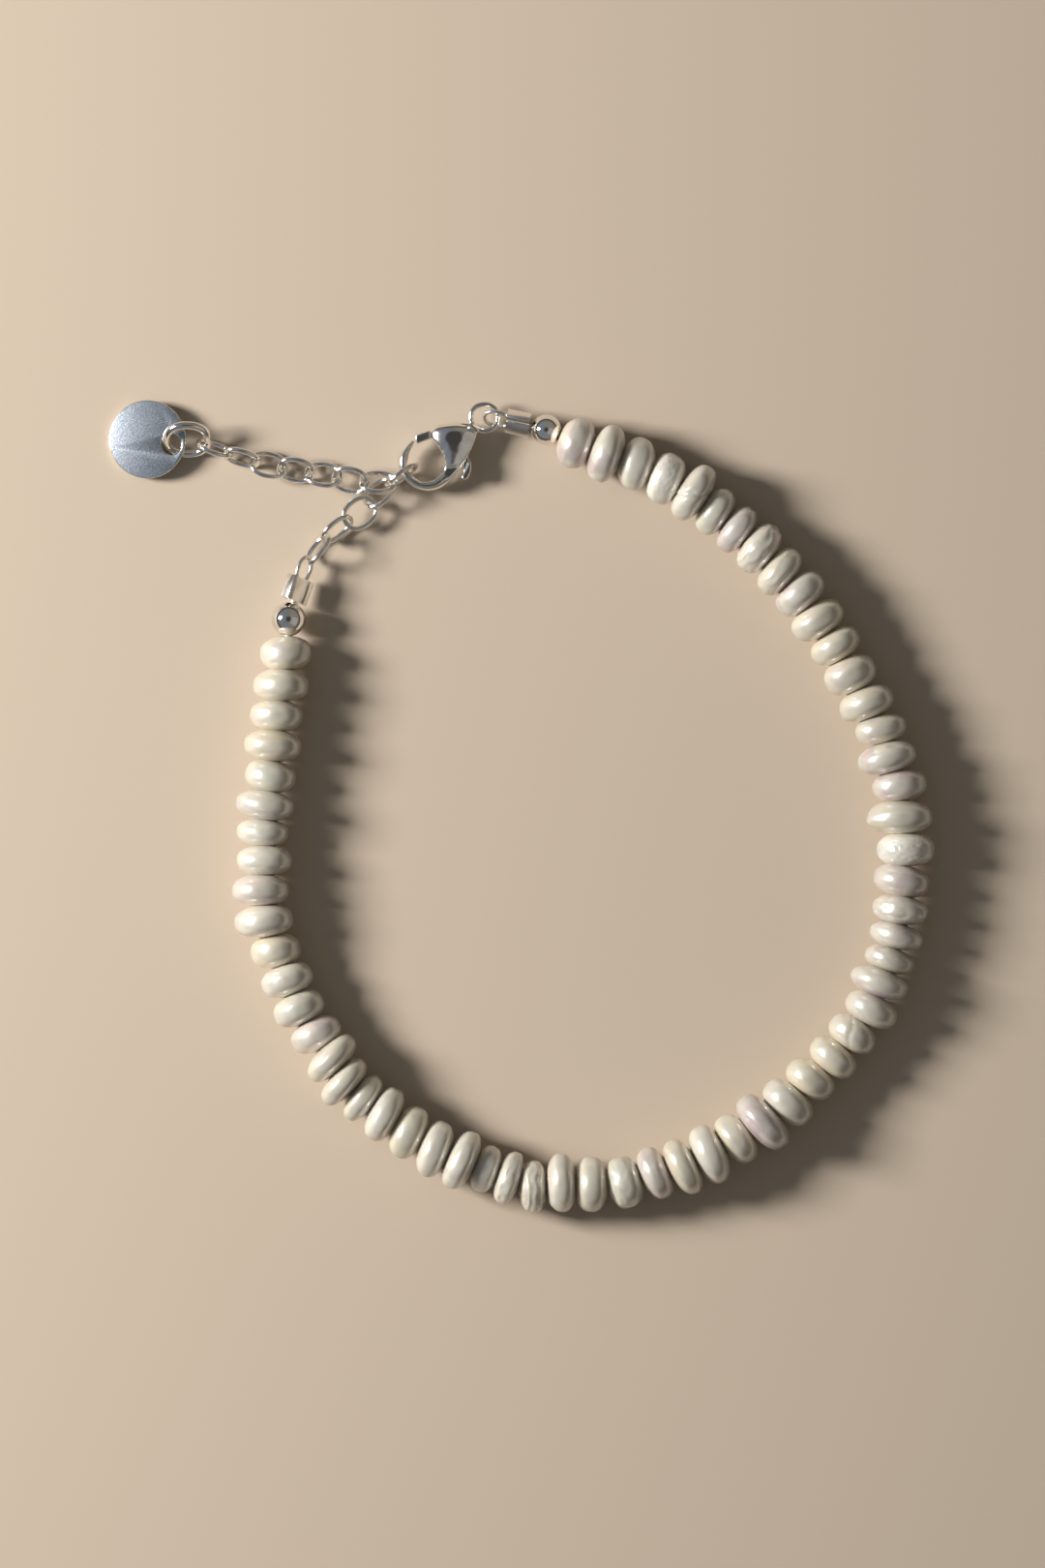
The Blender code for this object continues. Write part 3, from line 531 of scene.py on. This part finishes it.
def folded_crimp(width):
    """The folded strip, with its wire loop at -X."""
    line = fold_line(width)
    pick_nothing()
    bpy.ops.mesh.primitive_plane_add(size=CRIMP_LENGTH, location=(CRIMP_LENGTH / 2, 0, 0))
    bpy.ops.object.transform_apply()
    crimp = bpy.context.object
    for vert in crimp.data.vertices:
        vert.co.y, vert.co.z = line[0] if vert.co.y > 0 else line[1]
    pick_points(crimp, lambda point: (point.yz - Vector(line[1])).length < 1e-4)
    for (y, z), (next_y, next_z) in zip(line[1:], line[2:]):
        bpy.ops.mesh.extrude_region_move(TRANSFORM_OT_translate={"value": (0, next_y - y, next_z - z)})
    bpy.ops.mesh.select_all(action="SELECT")
    bpy.ops.mesh.normals_make_consistent(inside=False)
    bpy.ops.object.mode_set(mode="OBJECT")
    outer = max(crimp.data.polygons, key=lambda face: face.center.z)
    if outer.normal.z < 0:
        crimp.data.flip_normals()
    change(crimp, "SOLIDIFY", thickness=CRIMP_WALL, offset=-1, use_even_offset=True)
    sharp = math.radians(50)
    change(crimp, "BEVEL", width=CRIMP_EDGE_ROUND, segments=2, limit_method="ANGLE", angle_limit=sharp)
    bpy.ops.mesh.primitive_cube_add(size=1, location=(CRIMP_TONGUE_INSET + CRIMP_TONGUE / 2, 0, 0))
    tongue = bpy.context.object
    tongue.scale = (CRIMP_TONGUE, width - CRIMP_WALL, CRIMP_THICKNESS - CRIMP_WALL)
    bpy.ops.object.transform_apply()
    change(tongue, "BEVEL", width=CRIMP_TONGUE_ROUND, segments=3)
    buried = CRIMP_TONGUE / 2
    loop = wire_oval(LOOP_REACH + buried + LOOP_WIRE / 2, LOOP_WIDTH, LOOP_WIRE)
    loop.data.transform(Matrix.Translation((buried - (LOOP_REACH - LOOP_WIRE / 2 + buried) / 2, 0, 0)))
    work_on(crimp)
    tongue.select_set(True)
    loop.select_set(True)
    bpy.ops.object.join()
    bpy.ops.object.shade_smooth_by_angle(angle=math.radians(40))
    return crimp


def crimp_lie(node, ball):
    """Where a crimp lies: its closed end at the origin, its open end along X towards the ball."""
    lie = lie_of(node)
    along, thin = lie.to_3x3().col[0], lie.to_3x3().col[2]
    along = along if along.dot(middle_of(ball) - lie.translation) > 0 else -along
    points = [vert.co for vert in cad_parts[node].data.vertices]
    open_end = max((point - lie.translation).dot(along) for point in points)
    turn = Matrix((along, thin.cross(along), thin)).transposed().to_4x4()
    return Matrix.Translation(lie.translation + along * (open_end - CRIMP_LENGTH * MM)) @ turn


crimp_silver = silver_finish("crimp_silver", 0.18, 0.3, 0.000002)
for node, width, ball in (
    ("clasp_crimp", CLASP_CRIMP_WIDTH, "clasp_ball"), ("chain_crimp", CHAIN_CRIMP_WIDTH, "chain_ball")
):
    crimp = folded_crimp(width)
    set_down(crimp, node + "_fold", crimp_lie(node, ball), crimp_silver, "silver", "bracelet", node)

# The clasp's body. One casting in polished silver: a ring, a broad domed palm with a slot for the lever,
# and a hook that tapers round to its tip. Its spine, from the hook's tip up the palm, gives at each point
# its place, its half-width, how high its face stands and how high its sides do.
CLASP_RING_MIDDLE = (-2.996, 31.503, 1.45)
CLASP_RING_WIDTH = 2.6
CLASP_RING_WIRE = 0.42
CLASP_GRAIN = 0.045
CLASP_ROUNDS = 50
RING_EDGE = (1.30, 1.50)
TOP_EDGE = (-1.4, -0.35)
DOME_FALL = 0.97
DOME_SHAPE = 0.72
HOOK_END = 8
HOOK_FULLNESS = 1.03
HOOK_SIDES = 28
CLASP_SPINE = [
    (-5.74, -1.90, 0.14, 0.42, 0.10),
    (-6.17, -2.45, 0.26, 0.55, 0.10),
    (-6.56, -3.27, 0.38, 0.62, 0.10),
    (-6.57, -4.15, 0.36, 0.62, 0.10),
    (-6.09, -4.93, 0.34, 0.62, 0.10),
    (-5.08, -5.52, 0.36, 0.62, 0.10),
    (-4.02, -5.45, 0.42, 0.62, 0.12),
    (-3.09, -4.80, 0.51, 0.64, 0.38),
    (-2.63, -3.88, 0.74, 0.76, 0.40),
    (-2.47, -2.75, 1.27, 0.93, 0.41),
    (-2.48, -1.68, 1.79, 1.00, 0.42),
    (-2.37, -1.07, 1.89, 0.96, 0.42),
]


def bench_copy(node, middle):
    """A copy of a CAD node's mesh on the bench: in millimetres about its middle, its corners merged."""
    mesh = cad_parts[node].data.copy()
    mesh.materials.clear()
    mesh.transform(Matrix.Scale(1 / MM, 4) @ Matrix.Translation(-middle))
    made = bpy.data.objects.new(node + "_copy", mesh)
    bpy.context.scene.collection.objects.link(made)
    work_on(made)
    bpy.ops.object.mode_set(mode="EDIT")
    bpy.ops.mesh.select_all(action="SELECT")
    bpy.ops.mesh.remove_doubles(threshold=0.001)
    bpy.ops.object.mode_set(mode="OBJECT")
    return made


def recast(piece, grain):
    """Casts a piece again at a fine even grain."""
    change(piece, "REMESH", mode="VOXEL", voxel_size=grain, adaptivity=0)


def rub_round(piece, rounds, strength=lambda point: 1.0):
    """Rubs a recast piece's edges round, each point by the strength that it is given."""
    rubbed = piece.vertex_groups.new(name="rubbed")
    for vert in piece.data.vertices:
        rubbed.add([vert.index], strength(vert.co), "REPLACE")
    change(piece, "SMOOTH", factor=0.5, iterations=rounds, vertex_group="rubbed")
    piece.vertex_groups.clear()
    work_on(piece)
    bpy.ops.object.shade_smooth()


def smooth_step(value, low, high):
    share = min(max((value - low) / (high - low), 0), 1)
    return share * share * (3 - 2 * share)


def spine_at(place):
    """At a place in plan: how far it is from the clasp's spine, and the half-width, height and core there."""
    found = []
    for first, second in zip(CLASP_SPINE, CLASP_SPINE[1:]):
        start, way = Vector(first[:2]), Vector(second[:2]) - Vector(first[:2])
        share = min(max((place - start).dot(way) / way.length_squared, 0), 1)
        half_width, height, core = [a + (b - a) * share for a, b in zip(first[2:], second[2:])]
        found.append(((place - start - way * share).length / half_width, half_width, height, core))
    return min(found)


def dome_over(place):
    """How high the clasp's rounded face stands at a place in plan."""
    out, _, height, core = spine_at(place)
    fall = min(out**2 + smooth_step(place.y, *TOP_EDGE) ** 2, 1) * DOME_FALL
    return core + (height - core) * (1 - fall) ** DOME_SHAPE


def sweep(points, widths, sides):
    """A round bar swept smoothly through the points, of a given half-width at each."""
    line = bpy.data.curves.new("sweep", "CURVE")
    line.dimensions = "3D"
    line.bevel_depth = 1
    line.bevel_resolution = sides // 2 - 2
    line.use_fill_caps = True
    spline = line.splines.new("BEZIER")
    spline.bezier_points.add(len(points) - 1)
    for slot, point, width in zip(spline.bezier_points, points, widths):
        slot.co = point
        slot.radius = width
        slot.handle_left_type = slot.handle_right_type = "AUTO"
    made = bpy.data.objects.new("sweep", line)
    bpy.context.scene.collection.objects.link(made)
    work_on(made)
    bpy.ops.object.convert(target="MESH")
    return bpy.context.object


def cast_hook():
    """The hook: a bar along the spine, its section an oval that stands higher than it is wide."""
    spine = CLASP_SPINE[:HOOK_END]
    places = [(x, y, 0) for x, y, _, _, _ in spine]
    half_widths = [half_width * HOOK_FULLNESS for _, _, half_width, _, _ in spine]
    hook = sweep(places, half_widths, HOOK_SIDES)
    for vert in hook.data.vertices:
        _, half_width, height, _ = spine_at(vert.co.xy)
        vert.co.z *= height / half_width / HOOK_FULLNESS
    return hook


def file_round(piece):
    """Files both faces of the clasp down to its dome."""
    for vert in piece.data.vertices:
        if vert.co.xy.length > RING_EDGE[1]:
            vert.co.z = math.copysign(min(abs(vert.co.z), dome_over(vert.co.xy)), vert.co.z)


clasp_middle = Vector(CLASP_RING_MIDDLE) * MM
clasp_shell = bench_copy("clasp_body", clasp_middle)
clasp_ring = wire_oval(CLASP_RING_WIDTH, CLASP_RING_WIDTH, CLASP_RING_WIRE)
work_on(clasp_shell)
clasp_ring.select_set(True)
bpy.ops.object.join()
recast(clasp_shell, CLASP_GRAIN)
file_round(clasp_shell)
clasp_hook = cast_hook()
work_on(clasp_shell)
clasp_hook.select_set(True)
bpy.ops.object.join()
recast(clasp_shell, CLASP_GRAIN)
rub_round(clasp_shell, CLASP_ROUNDS, lambda point: smooth_step(point.xy.length, *RING_EDGE))
clasp_silver = silver_finish("clasp_silver", 0.10, 0.3, 0.0000015)
clasp_lie = Matrix.Translation(clasp_middle)
set_down(clasp_shell, "clasp_shell", clasp_lie, clasp_silver, "silver", "bracelet", "clasp_body")

# The clasp's lever. A stamped silver arm that turns on the clasp's pin, with the gate that closes the hook at
# one end and the thumb's trigger at the other.
LEVER_GRAIN = 0.03
LEVER_ROUNDS = 45

lever_arm = bench_copy("clasp_lever", clasp_middle)
recast(lever_arm, LEVER_GRAIN)
rub_round(lever_arm, LEVER_ROUNDS)
lever_silver = silver_finish("lever_silver", 0.15, 0.35, 0.000002)
set_down(lever_arm, "lever_arm", clasp_lie, lever_silver, "silver", "clasp_lever", "clasp_lever")

# The pearls. Sixty-one freshwater button pearls on one thread, each drilled through its thickness and turned
# a little on the thread: cream nacre with a satin glow, pink and green overtones and the marks of its growth.
# Their colour also carries a painted grey reflection of the sky across each pearl's middle and a painted warm
# glow on the faces where they touch and underneath. Their route and chart are the model's own.
BOX_MIDDLE = (0.056, 0.207, 0)
BAND_ROUTE = [
    (-2.94, 31.71, 1.45),
    (-0.35, 31.30, 1.60),
    (2.08, 30.69, 1.90),
    (4.58, 29.57, 2.10),
    (12.00, 26.72, 2.15),
    (17.62, 22.60, 2.15),
    (22.75, 17.10, 2.15),
    (26.95, 10.60, 2.15),
    (30.05, 3.75, 2.20),
    (31.05, -3.50, 2.25),
    (30.35, -10.60, 2.15),
    (27.90, -16.90, 2.15),
    (23.45, -22.15, 2.15),
    (17.35, -27.00, 2.20),
    (10.50, -29.80, 2.15),
    (3.30, -30.65, 2.20),
    (-2.90, -29.35, 2.15),
    (-9.35, -26.10, 2.20),
    (-14.45, -21.75, 2.20),
    (-18.20, -15.55, 2.10),
    (-20.70, -8.70, 2.10),
    (-20.90, -1.60, 2.15),
    (-19.95, 5.40, 2.15),
    (-19.10, 13.05, 2.05),
    (-18.70, 15.95, 2.00),
    (-18.05, 18.10, 1.85),
    (-17.00, 20.30, 1.60),
    (-15.10, 22.50, 1.45),
    (-13.00, 24.00, 1.30),
]
ROUTE_STEPS = 12
PEARL_WIDTH = 4.4
PEARL_FILL = 1.06
PEARL_FULLNESS = 2.2
PEARL_FLATNESS = 2.45
BALL_GAP = 0.06
PEARL_CHART = [
    (0.94, 1.10, 70, 0.00), (1.10, 1.00, 69, 0.00), (0.97, 1.09, 74, 0.02), (0.99, 1.07, 68, -0.02),
    (1.14, 0.96, 57, 0.02), (0.95, 0.93, 56, -0.02), (0.94, 0.90, 54, 0.00), (1.01, 1.03, 52, 0.02),
    (1.00, 0.97, 50, 0.00), (1.02, 1.02, 42, 0.03), (1.02, 1.06, 32, 0.00), (0.96, 0.99, 31, 0.02),
    (0.98, 1.13, 24, -0.02), (1.02, 1.01, 20, 0.00), (0.96, 0.93, 12, 0.03), (1.08, 0.98, 15, -0.05),
    (1.02, 0.99, 9, 0.05), (1.16, 1.05, 0, -0.02), (1.07, 1.07, 0, 0.04), (1.03, 1.00, -12, -0.02),
    (1.05, 0.91, -9, 0.00), (0.99, 0.82, -14, 0.02), (0.95, 0.78, -19, 0.01), (1.10, 0.87, -21, -0.03),
    (1.01, 0.97, -26, 0.05), (0.94, 1.02, -34, -0.02), (0.96, 1.00, -38, 0.00), (0.94, 1.05, -34, -0.02),
    (1.04, 1.07, -40, 0.02), (1.21, 1.03, -48, 0.00), (0.99, 1.01, -55, -0.02), (1.12, 1.01, -65, 0.00),
    (1.10, 0.93, -62, 0.02), (1.00, 0.95, -65, -0.02), (0.99, 1.12, -75, 0.02), (1.01, 1.05, -90, -0.02),
    (1.05, 0.94, -88, -0.06), (0.94, 0.89, 90, 0.06), (0.99, 0.77, 72, 0.00), (0.90, 0.82, 70, -0.03),
    (1.15, 0.91, 65, 0.00), (1.07, 0.98, 69, 0.02), (1.00, 1.05, 66, 0.00), (1.07, 0.94, 63, -0.02),
    (0.95, 0.82, 53, 0.00), (1.08, 0.81, 47, 0.04), (1.10, 0.89, 45, -0.04), (0.95, 1.01, 27, -0.03),
    (0.96, 1.02, 24, 0.02), (0.98, 1.00, 19, 0.00), (0.93, 1.05, 10, 0.00), (1.08, 1.03, 6, 0.04),
    (1.07, 0.99, 0, 0.03), (1.03, 0.95, 0, -0.05), (0.97, 0.87, -3, 0.00), (1.07, 0.93, -8, 0.00),
    (0.94, 1.01, -10, -0.02), (1.05, 1.00, -4, 0.02), (0.96, 0.99, -3, 0.02), (1.01, 1.03, 0, 0.00),
    (0.95, 1.07, 4, -0.02),
]
PEARL_GROUPS = [
    ("pearls_clasp_side", 0, 15), ("pearls_right_side", 15, 30), ("pearls_lower_side", 30, 46),
    ("pearls_left_side", 46, 61),
]
PEARL_SEGMENTS = 72
PEARL_RINGS = 44
PEARL_BORE_SHARE = 0.11
PEARL_SEED = 11
LUMP = 0.050
RIPPLE = 0.016
FULL_ROUGH = 0.03
NUB_HEIGHT = 0.11
NUB_REACH = 0.34
NOTCH_DEPTH = 0.15
NOTCH_REACH = 0.2
CREASE_REACH = 0.07
THICKNESS_SKIN = 0.35

# Nacre colours, and what is particular about some pearls, by their number from the clasp: their colour, how
# pink they glow, how rough, ridged or dented their skin is, a crease across them or a nub on one side.
CREAM = (0.54, 0.500, 0.415)
IVORY = (0.56, 0.530, 0.465)
CHALK = (0.64, 0.620, 0.570)
ROSE = (0.53, 0.475, 0.435)
MAUVE = (0.48, 0.430, 0.415)
STRAW = (0.55, 0.500, 0.390)
SAGE = (0.50, 0.485, 0.410)
COMMON_TINTS = [CREAM, IVORY, CREAM, IVORY, STRAW, SAGE]
PEARL_LOOKS = {
    1: {"tint": ROSE, "blush": 0.8, "ridges": 0.010},
    2: {"tint": IVORY, "blush": 0.9},
    4: {"tint": CHALK, "blush": 0.2, "rough": 0.030, "notch": (0.28, 0.96, 0.1)},
    5: {"tint": IVORY, "crease": 0.10},
    7: {"tint": MAUVE, "blush": 0.8},
    8: {"tint": IVORY, "ridges": 0.016},
    9: {"tint": CREAM, "ridges": 0.008},
    10: {"tint": ROSE, "blush": 0.8},
    16: {"tint": IVORY, "blush": 0.9},
    17: {"tint": ROSE, "blush": 0.9},
    18: {"tint": CREAM, "nub": (0.2, -1.0, 0.3)},
    19: {"tint": CHALK, "rough": 0.032},
    20: {"tint": ROSE, "blush": 0.8},
    21: {"tint": IVORY, "dents": 0.05},
    22: {"tint": IVORY, "blush": 1.0},
    23: {"tint": CREAM, "blush": 1.0},
    24: {"tint": IVORY, "blush": 0.9},
    26: {"tint": CREAM, "crease": 0.045},
    28: {"tint": STRAW, "blush": 0.1},
    30: {"tint": MAUVE, "blush": 1.0},
    34: {"tint": ROSE, "blush": 0.8},
    35: {"tint": SAGE, "dents": 0.045, "rough": 0.012},
    37: {"tint": IVORY, "nub": (0.9, 0.5, 0.2)},
    38: {"tint": CREAM, "ridges": 0.018},
    39: {"tint": IVORY, "dents": 0.05},
    48: {"tint": ROSE, "blush": 0.8},
    53: {"tint": ROSE, "blush": 0.9},
}


class Route:
    """A smooth line through the points, which gives its place and heading at any distance along it."""

    def __init__(self, points):
        ends = [2 * points[0] - points[1]] + points + [2 * points[-1] - points[-2]]
        self.line = []
        for a, b, c, d in zip(ends, ends[1:], ends[2:], ends[3:]):
            for step in range(ROUTE_STEPS):
                t = step / ROUTE_STEPS
                bend = (2 * a - 5 * b + 4 * c - d) * t**2 + (3 * b - a - 3 * c + d) * t**3
                self.line.append(0.5 * (2 * b + (c - a) * t + bend))
        self.line.append(points[-1])
        self.marks = [0.0]
        for a, b in zip(self.line, self.line[1:]):
            self.marks.append(self.marks[-1] + (b - a).length)

    def at(self, distance):
        i = 0
        while i < len(self.marks) - 2 and self.marks[i + 1] < distance:
            i += 1
        step = self.line[i + 1] - self.line[i]
        return self.line[i] + step * ((distance - self.marks[i]) / step.length), step.normalized()

    def nearest(self, place):
        """How far along the line it passes nearest to a place."""
        found = []
        for a, b, mark in zip(self.line, self.line[1:], self.marks):
            share = min(max((place - a).dot(b - a) / (b - a).length_squared, 0), 1)
            found.append(((a + (b - a) * share - place).length, mark + share * (b - a).length))
        return min(found)[1]


def string_pearls(route):
    """The chart's pearls, filling the route between the end balls: place, width and thickness, in mm."""
    first = route.nearest(middle_of("clasp_ball") / MM) + CLASP_BALL_WIDTH / 2 + BALL_GAP
    last = route.nearest(middle_of("chain_ball") / MM) - CHAIN_BALL_WIDTH / 2 - BALL_GAP
    scale = (last - first) / sum(thick for _, thick, _, _ in PEARL_CHART)
    reached = first
    found = []
    for wide, thick, turn, outside in PEARL_CHART:
        reached += scale * thick / 2
        point, heading = route.at(reached)
        reached += scale * thick / 2
        width = PEARL_WIDTH * wide
        middle = point + Vector((-heading.y, heading.x, 0)).normalized() * (outside * width)
        middle.z = width / 2
        place = Matrix.Translation(middle) @ Matrix.Rotation(math.radians(turn - 90), 4, "Z")
        found.append((place, width, scale * thick * PEARL_FILL))
    return found


def bump_at(direction, aim, reach):
    """One where a direction meets the aim, falling to nothing round it."""
    return math.exp(-((direction - Vector(aim).normalized()).length / reach) ** 2)


def skin_of(direction, seed, look):
    """How far a pearl's skin stands in or out at a direction, as a share of its radius."""
    shift = Vector((seed * 7.3, seed * 3.1, seed * 5.7))
    skin = LUMP * noise.noise(direction * 0.9 + shift)
    skin += RIPPLE * noise.noise(direction * 2.4 + shift)
    rough = look.get("rough", 0)
    if rough:
        pits = abs(noise.noise(direction * 6.5 + shift)) + 0.6 * abs(noise.noise(direction * 12 + shift))
        skin += rough * (0.5 - 1.6 * pits)
    ridges = look.get("ridges", 0)
    if ridges:
        waver = 1.6 * noise.noise(direction * 1.7 + shift)
        skin += ridges * math.sin(13 * direction.x + 4 * waver)
    dents = look.get("dents", 0)
    if dents:
        skin -= dents * max(noise.noise(direction * 2.9 + shift * 2), 0) * 1.6
    crease = look.get("crease", 0)
    if crease:
        line = direction.y * 0.9 - direction.x * 0.3 + 0.10 + 0.10 * noise.noise(direction * 2 + shift)
        skin -= crease * math.exp(-((line / CREASE_REACH) ** 2))
    if "nub" in look:
        skin += NUB_HEIGHT * bump_at(direction, look["nub"], NUB_REACH)
    if "notch" in look:
        skin -= NOTCH_DEPTH * bump_at(direction, look["notch"], NOTCH_REACH)
    return skin


def shape_pearl(pearl, width, thickness, seed, look, tint, blush):
    """Shapes a copy of the bored ball into one button pearl, and keeps its own coordinates on its skin."""
    places = []
    for vert in pearl.data.vertices:
        direction = vert.co.normalized()
        out = math.hypot(vert.co.y, vert.co.z)
        grown = out ** (2 / PEARL_FULLNESS - 1)
        along = math.copysign(abs(vert.co.x) ** (2 / PEARL_FLATNESS), vert.co.x)
        skin = skin_of(direction, seed, look)
        vert.co.x = along * thickness / 2 * (1 + THICKNESS_SKIN * skin)
        vert.co.y *= grown * width / 2 * (1 + skin)
        vert.co.z *= grown * width / 2 * (1 + skin)
        places.extend(vert.co)
    lowest = min(vert.co.z for vert in pearl.data.vertices)
    pearl.data.transform(Matrix.Translation((0, 0, -lowest - width / 2)))
    count = len(pearl.data.vertices)
    marks = pearl.data.attributes
    marks.new("pearl_place", "FLOAT_VECTOR", "POINT").data.foreach_set("vector", places)
    roughness = look.get("rough", 0) / FULL_ROUGH
    for name, value in (("pearl_seed", seed), ("pearl_blush", blush), ("pearl_rough", roughness)):
        marks.new(name, "FLOAT", "POINT").data.foreach_set("value", [value] * count)
    marks.new("pearl_tint", "FLOAT_COLOR", "POINT").data.foreach_set("color", (*tint, 1) * count)


PINK = (0.40, 0.305, 0.33, 1)
GREEN = (0.40, 0.42, 0.36, 1)
# Painted reflection: a grey that stands in for the sky seen across the middle band of each pearl.
PAINTED_SKY_GREY = (0.36, 0.365, 0.33, 1)
GREEN_SHIFT = (5.0, 3.0, 9.0)
GROWTH_STRETCH = (5.0, 0.6, 0.6)
NACRE_RELIEF = 0.00002
# A warm tan. On the pearls it is a painted warm glow of light bounced from the floor and the neighbouring
# pearls onto their contact faces and undersides, and also the faint real tint of their growth marks. On the
# thread it is painted shade in the twist's grooves.
PAINTED_GLOW_SHADE_AND_GROWTH_TINT = (0.76, 0.64, 0.46, 1)


def nacre_finish():
    """Nacre: each pearl's own tint under drifting pink and green, and a satin skin under a gloss. Over the
    tint go a painted grey reflection of the sky across each pearl's middle and a painted warm glow on its
    contact faces and underside.
    """
    finish, tree, shader = new_finish(
        "nacre", Coat_Weight=1.0, Coat_Roughness=0.24, Coat_IOR=2.2, IOR=1.6, Subsurface_Weight=0.5,
        Subsurface_Radius=(1.0, 0.75, 0.45), Subsurface_Scale=0.0012,
    )

    def mark(name, output):
        return add_node(tree, "ShaderNodeAttribute", attribute_name=name).outputs[output]

    place, seed = mark("pearl_place", "Vector"), mark("pearl_seed", "Fac")
    tint, blush = mark("pearl_tint", "Color"), mark("pearl_blush", "Fac")

    def drift(scale, detail, vector=place):
        inputs = {"Vector": vector, "W": seed, "Scale": scale, "Detail": detail}
        return add_node(tree, "ShaderNodeTexNoise", inputs, noise_dimensions="4D").outputs[0]

    pink = arithmetic(tree, "MULTIPLY", ranged(tree, drift(0.62, 2), 0.50, 0.64, 0.0, 0.85), blush)
    colour = mix_colours(tree, pink, tint, PINK)
    shifted = add_node(tree, "ShaderNodeVectorMath", {0: place, 1: GREEN_SHIFT}, operation="ADD").outputs[0]
    green = ranged(tree, drift(0.55, 2, shifted), 0.50, 0.72, 0.0, 0.35)
    colour = mix_colours(tree, green, colour, GREEN)
    stretched = add_node(tree, "ShaderNodeMapping", {"Vector": place, "Scale": GROWTH_STRETCH}).outputs[0]
    growth = drift(1.3, 4, stretched)
    colour = mix_colours(tree, ranged(tree, growth, 0.35, 0.65, 0.07, 0.0), colour, PAINTED_GLOW_SHADE_AND_GROWTH_TINT, "MULTIPLY")
    ways = add_node(tree, "ShaderNodeSeparateXYZ", {0: place}).outputs
    side = add_node(tree, "ShaderNodeMath", {0: ways["X"]}, operation="ABSOLUTE").outputs[0]
    # Painted reflection: the band round each pearl's middle is greyed, as the sky seen in it.
    colour = mix_colours(tree, ranged(tree, side, 0.1, 1.0, 0.5, 0.0), colour, PAINTED_SKY_GREY)
    # Painted warm glow of light bounced between neighbours, on the faces where the pearls touch.
    colour = mix_colours(tree, ranged(tree, side, 0.95, 1.7, 0.0, 0.7), colour, PAINTED_GLOW_SHADE_AND_GROWTH_TINT)
    # Painted warm glow of light bounced from the floor, on each pearl's underside.
    colour = mix_colours(tree, ranged(tree, ways["Z"], 0.5, -1.9, 0.0, 0.75), colour, PAINTED_GLOW_SHADE_AND_GROWTH_TINT)
    silk = drift(9.0, 3)
    rough = ranged(tree, drift(1.1, 3), 0.3, 0.7, 0.30, 0.44)
    pitted = arithmetic(tree, "MULTIPLY", drift(2.3, 3), mark("pearl_rough", "Fac"))
    high = arithmetic(tree, "MULTIPLY", silk, 0.1)
    high = arithmetic(tree, "ADD", high, arithmetic(tree, "MULTIPLY", growth, 0.2))
    high = arithmetic(tree, "ADD", high, arithmetic(tree, "MULTIPLY", pitted, 9.0))
    bump = add_node(tree, "ShaderNodeBump", {"Height": high, "Distance": NACRE_RELIEF, "Strength": 0.4})
    tree.links.new(colour, shader.inputs["Base Color"])
    tree.links.new(rough, shader.inputs["Roughness"])
    tree.links.new(bump.outputs["Normal"], shader.inputs["Normal"])
    return finish


band_points = [Vector(point) - Vector(BOX_MIDDLE) for point in BAND_ROUTE]
pearl_route = Route(band_points + [lie_of("band_link_1").translation / MM])
pearls = string_pearls(pearl_route)
nacre = nacre_finish()
pearl_master = bored_round(PEARL_SEGMENTS, PEARL_RINGS, PEARL_BORE_SHARE)
chance = random.Random(PEARL_SEED)
for name, first, last in PEARL_GROUPS:
    strung = []
    for number in range(first, last):
        place, width, thickness = pearls[number]
        look = PEARL_LOOKS.get(number + 1, {})
        tint = look.get("tint", chance.choice(COMMON_TINTS))
        blush = look.get("blush", chance.uniform(0.1, 0.5))
        pearl = same_again(pearl_master)
        shape_pearl(pearl, width, thickness, chance.uniform(1, 50), look, tint, blush)
        pearl.data.transform(place)
        strung.append(pearl)
    pick_nothing()
    for pearl in strung:
        pearl.select_set(True)
    bpy.context.view_layer.objects.active = strung[0]
    bpy.ops.object.join()
    bpy.ops.object.shade_smooth_by_angle(angle=math.radians(60))
    set_down(strung[0], name, Matrix.Identity(4), nacre, "pearl", "bracelet", "pearl_string")
bpy.data.objects.remove(pearl_master)

# The thread. Two strands of silk twisted together, white and slightly worn, that run from one crimp through
# the end balls and every pearl to the other crimp. Its colour is painted darker and warmer as shade in the
# grooves of its twist.
THREAD_WIDTH = 0.4
THREAD_SIDES = 10
THREAD_COLOUR = (0.78, 0.73, 0.64, 1)
TWIST_SCALE = 1600
TWIST_RELIEF = 0.00004


def silk_painted_shade_finish():
    finish, tree, shader = new_finish("silk_thread_painted_shade", Roughness=0.6, Sheen_Weight=0.3)
    place = add_node(tree, "ShaderNodeTexCoord").outputs["Object"]
    strands = {"Vector": place, "Scale": TWIST_SCALE, "Distortion": 1.5, "Detail": 2}
    twist = add_node(tree, "ShaderNodeTexWave", strands)
    # Painted shade: darker and warmer in the low grooves of the twist.
    colour = mix_colours(tree, ranged(tree, twist.outputs[1], 0.2, 0.9, 0.4, 0.0), THREAD_COLOUR, PAINTED_GLOW_SHADE_AND_GROWTH_TINT)
    relief = {"Height": twist.outputs[1], "Distance": TWIST_RELIEF, "Strength": 0.8}
    bump = add_node(tree, "ShaderNodeBump", relief)
    tree.links.new(colour, shader.inputs["Base Color"])
    tree.links.new(bump.outputs["Normal"], shader.inputs["Normal"])
    return finish


crimp_inside = Vector(((CRIMP_LENGTH + CRIMP_TONGUE) / 2 * MM, 0, 0))
thread_points = [crimp_lie("clasp_crimp", "clasp_ball") @ crimp_inside / MM, middle_of("clasp_ball") / MM]
thread_points += [place.translation for place, _, _ in pearls]
thread_points += [middle_of("chain_ball") / MM, crimp_lie("chain_crimp", "chain_ball") @ crimp_inside / MM]
silk = silk_painted_shade_finish()
thread = sweep(thread_points, [THREAD_WIDTH / 2] * len(thread_points), THREAD_SIDES)
set_down(thread, "stringing_thread", Matrix.Identity(4), silk, "pearl", "bracelet", "pearl_string")
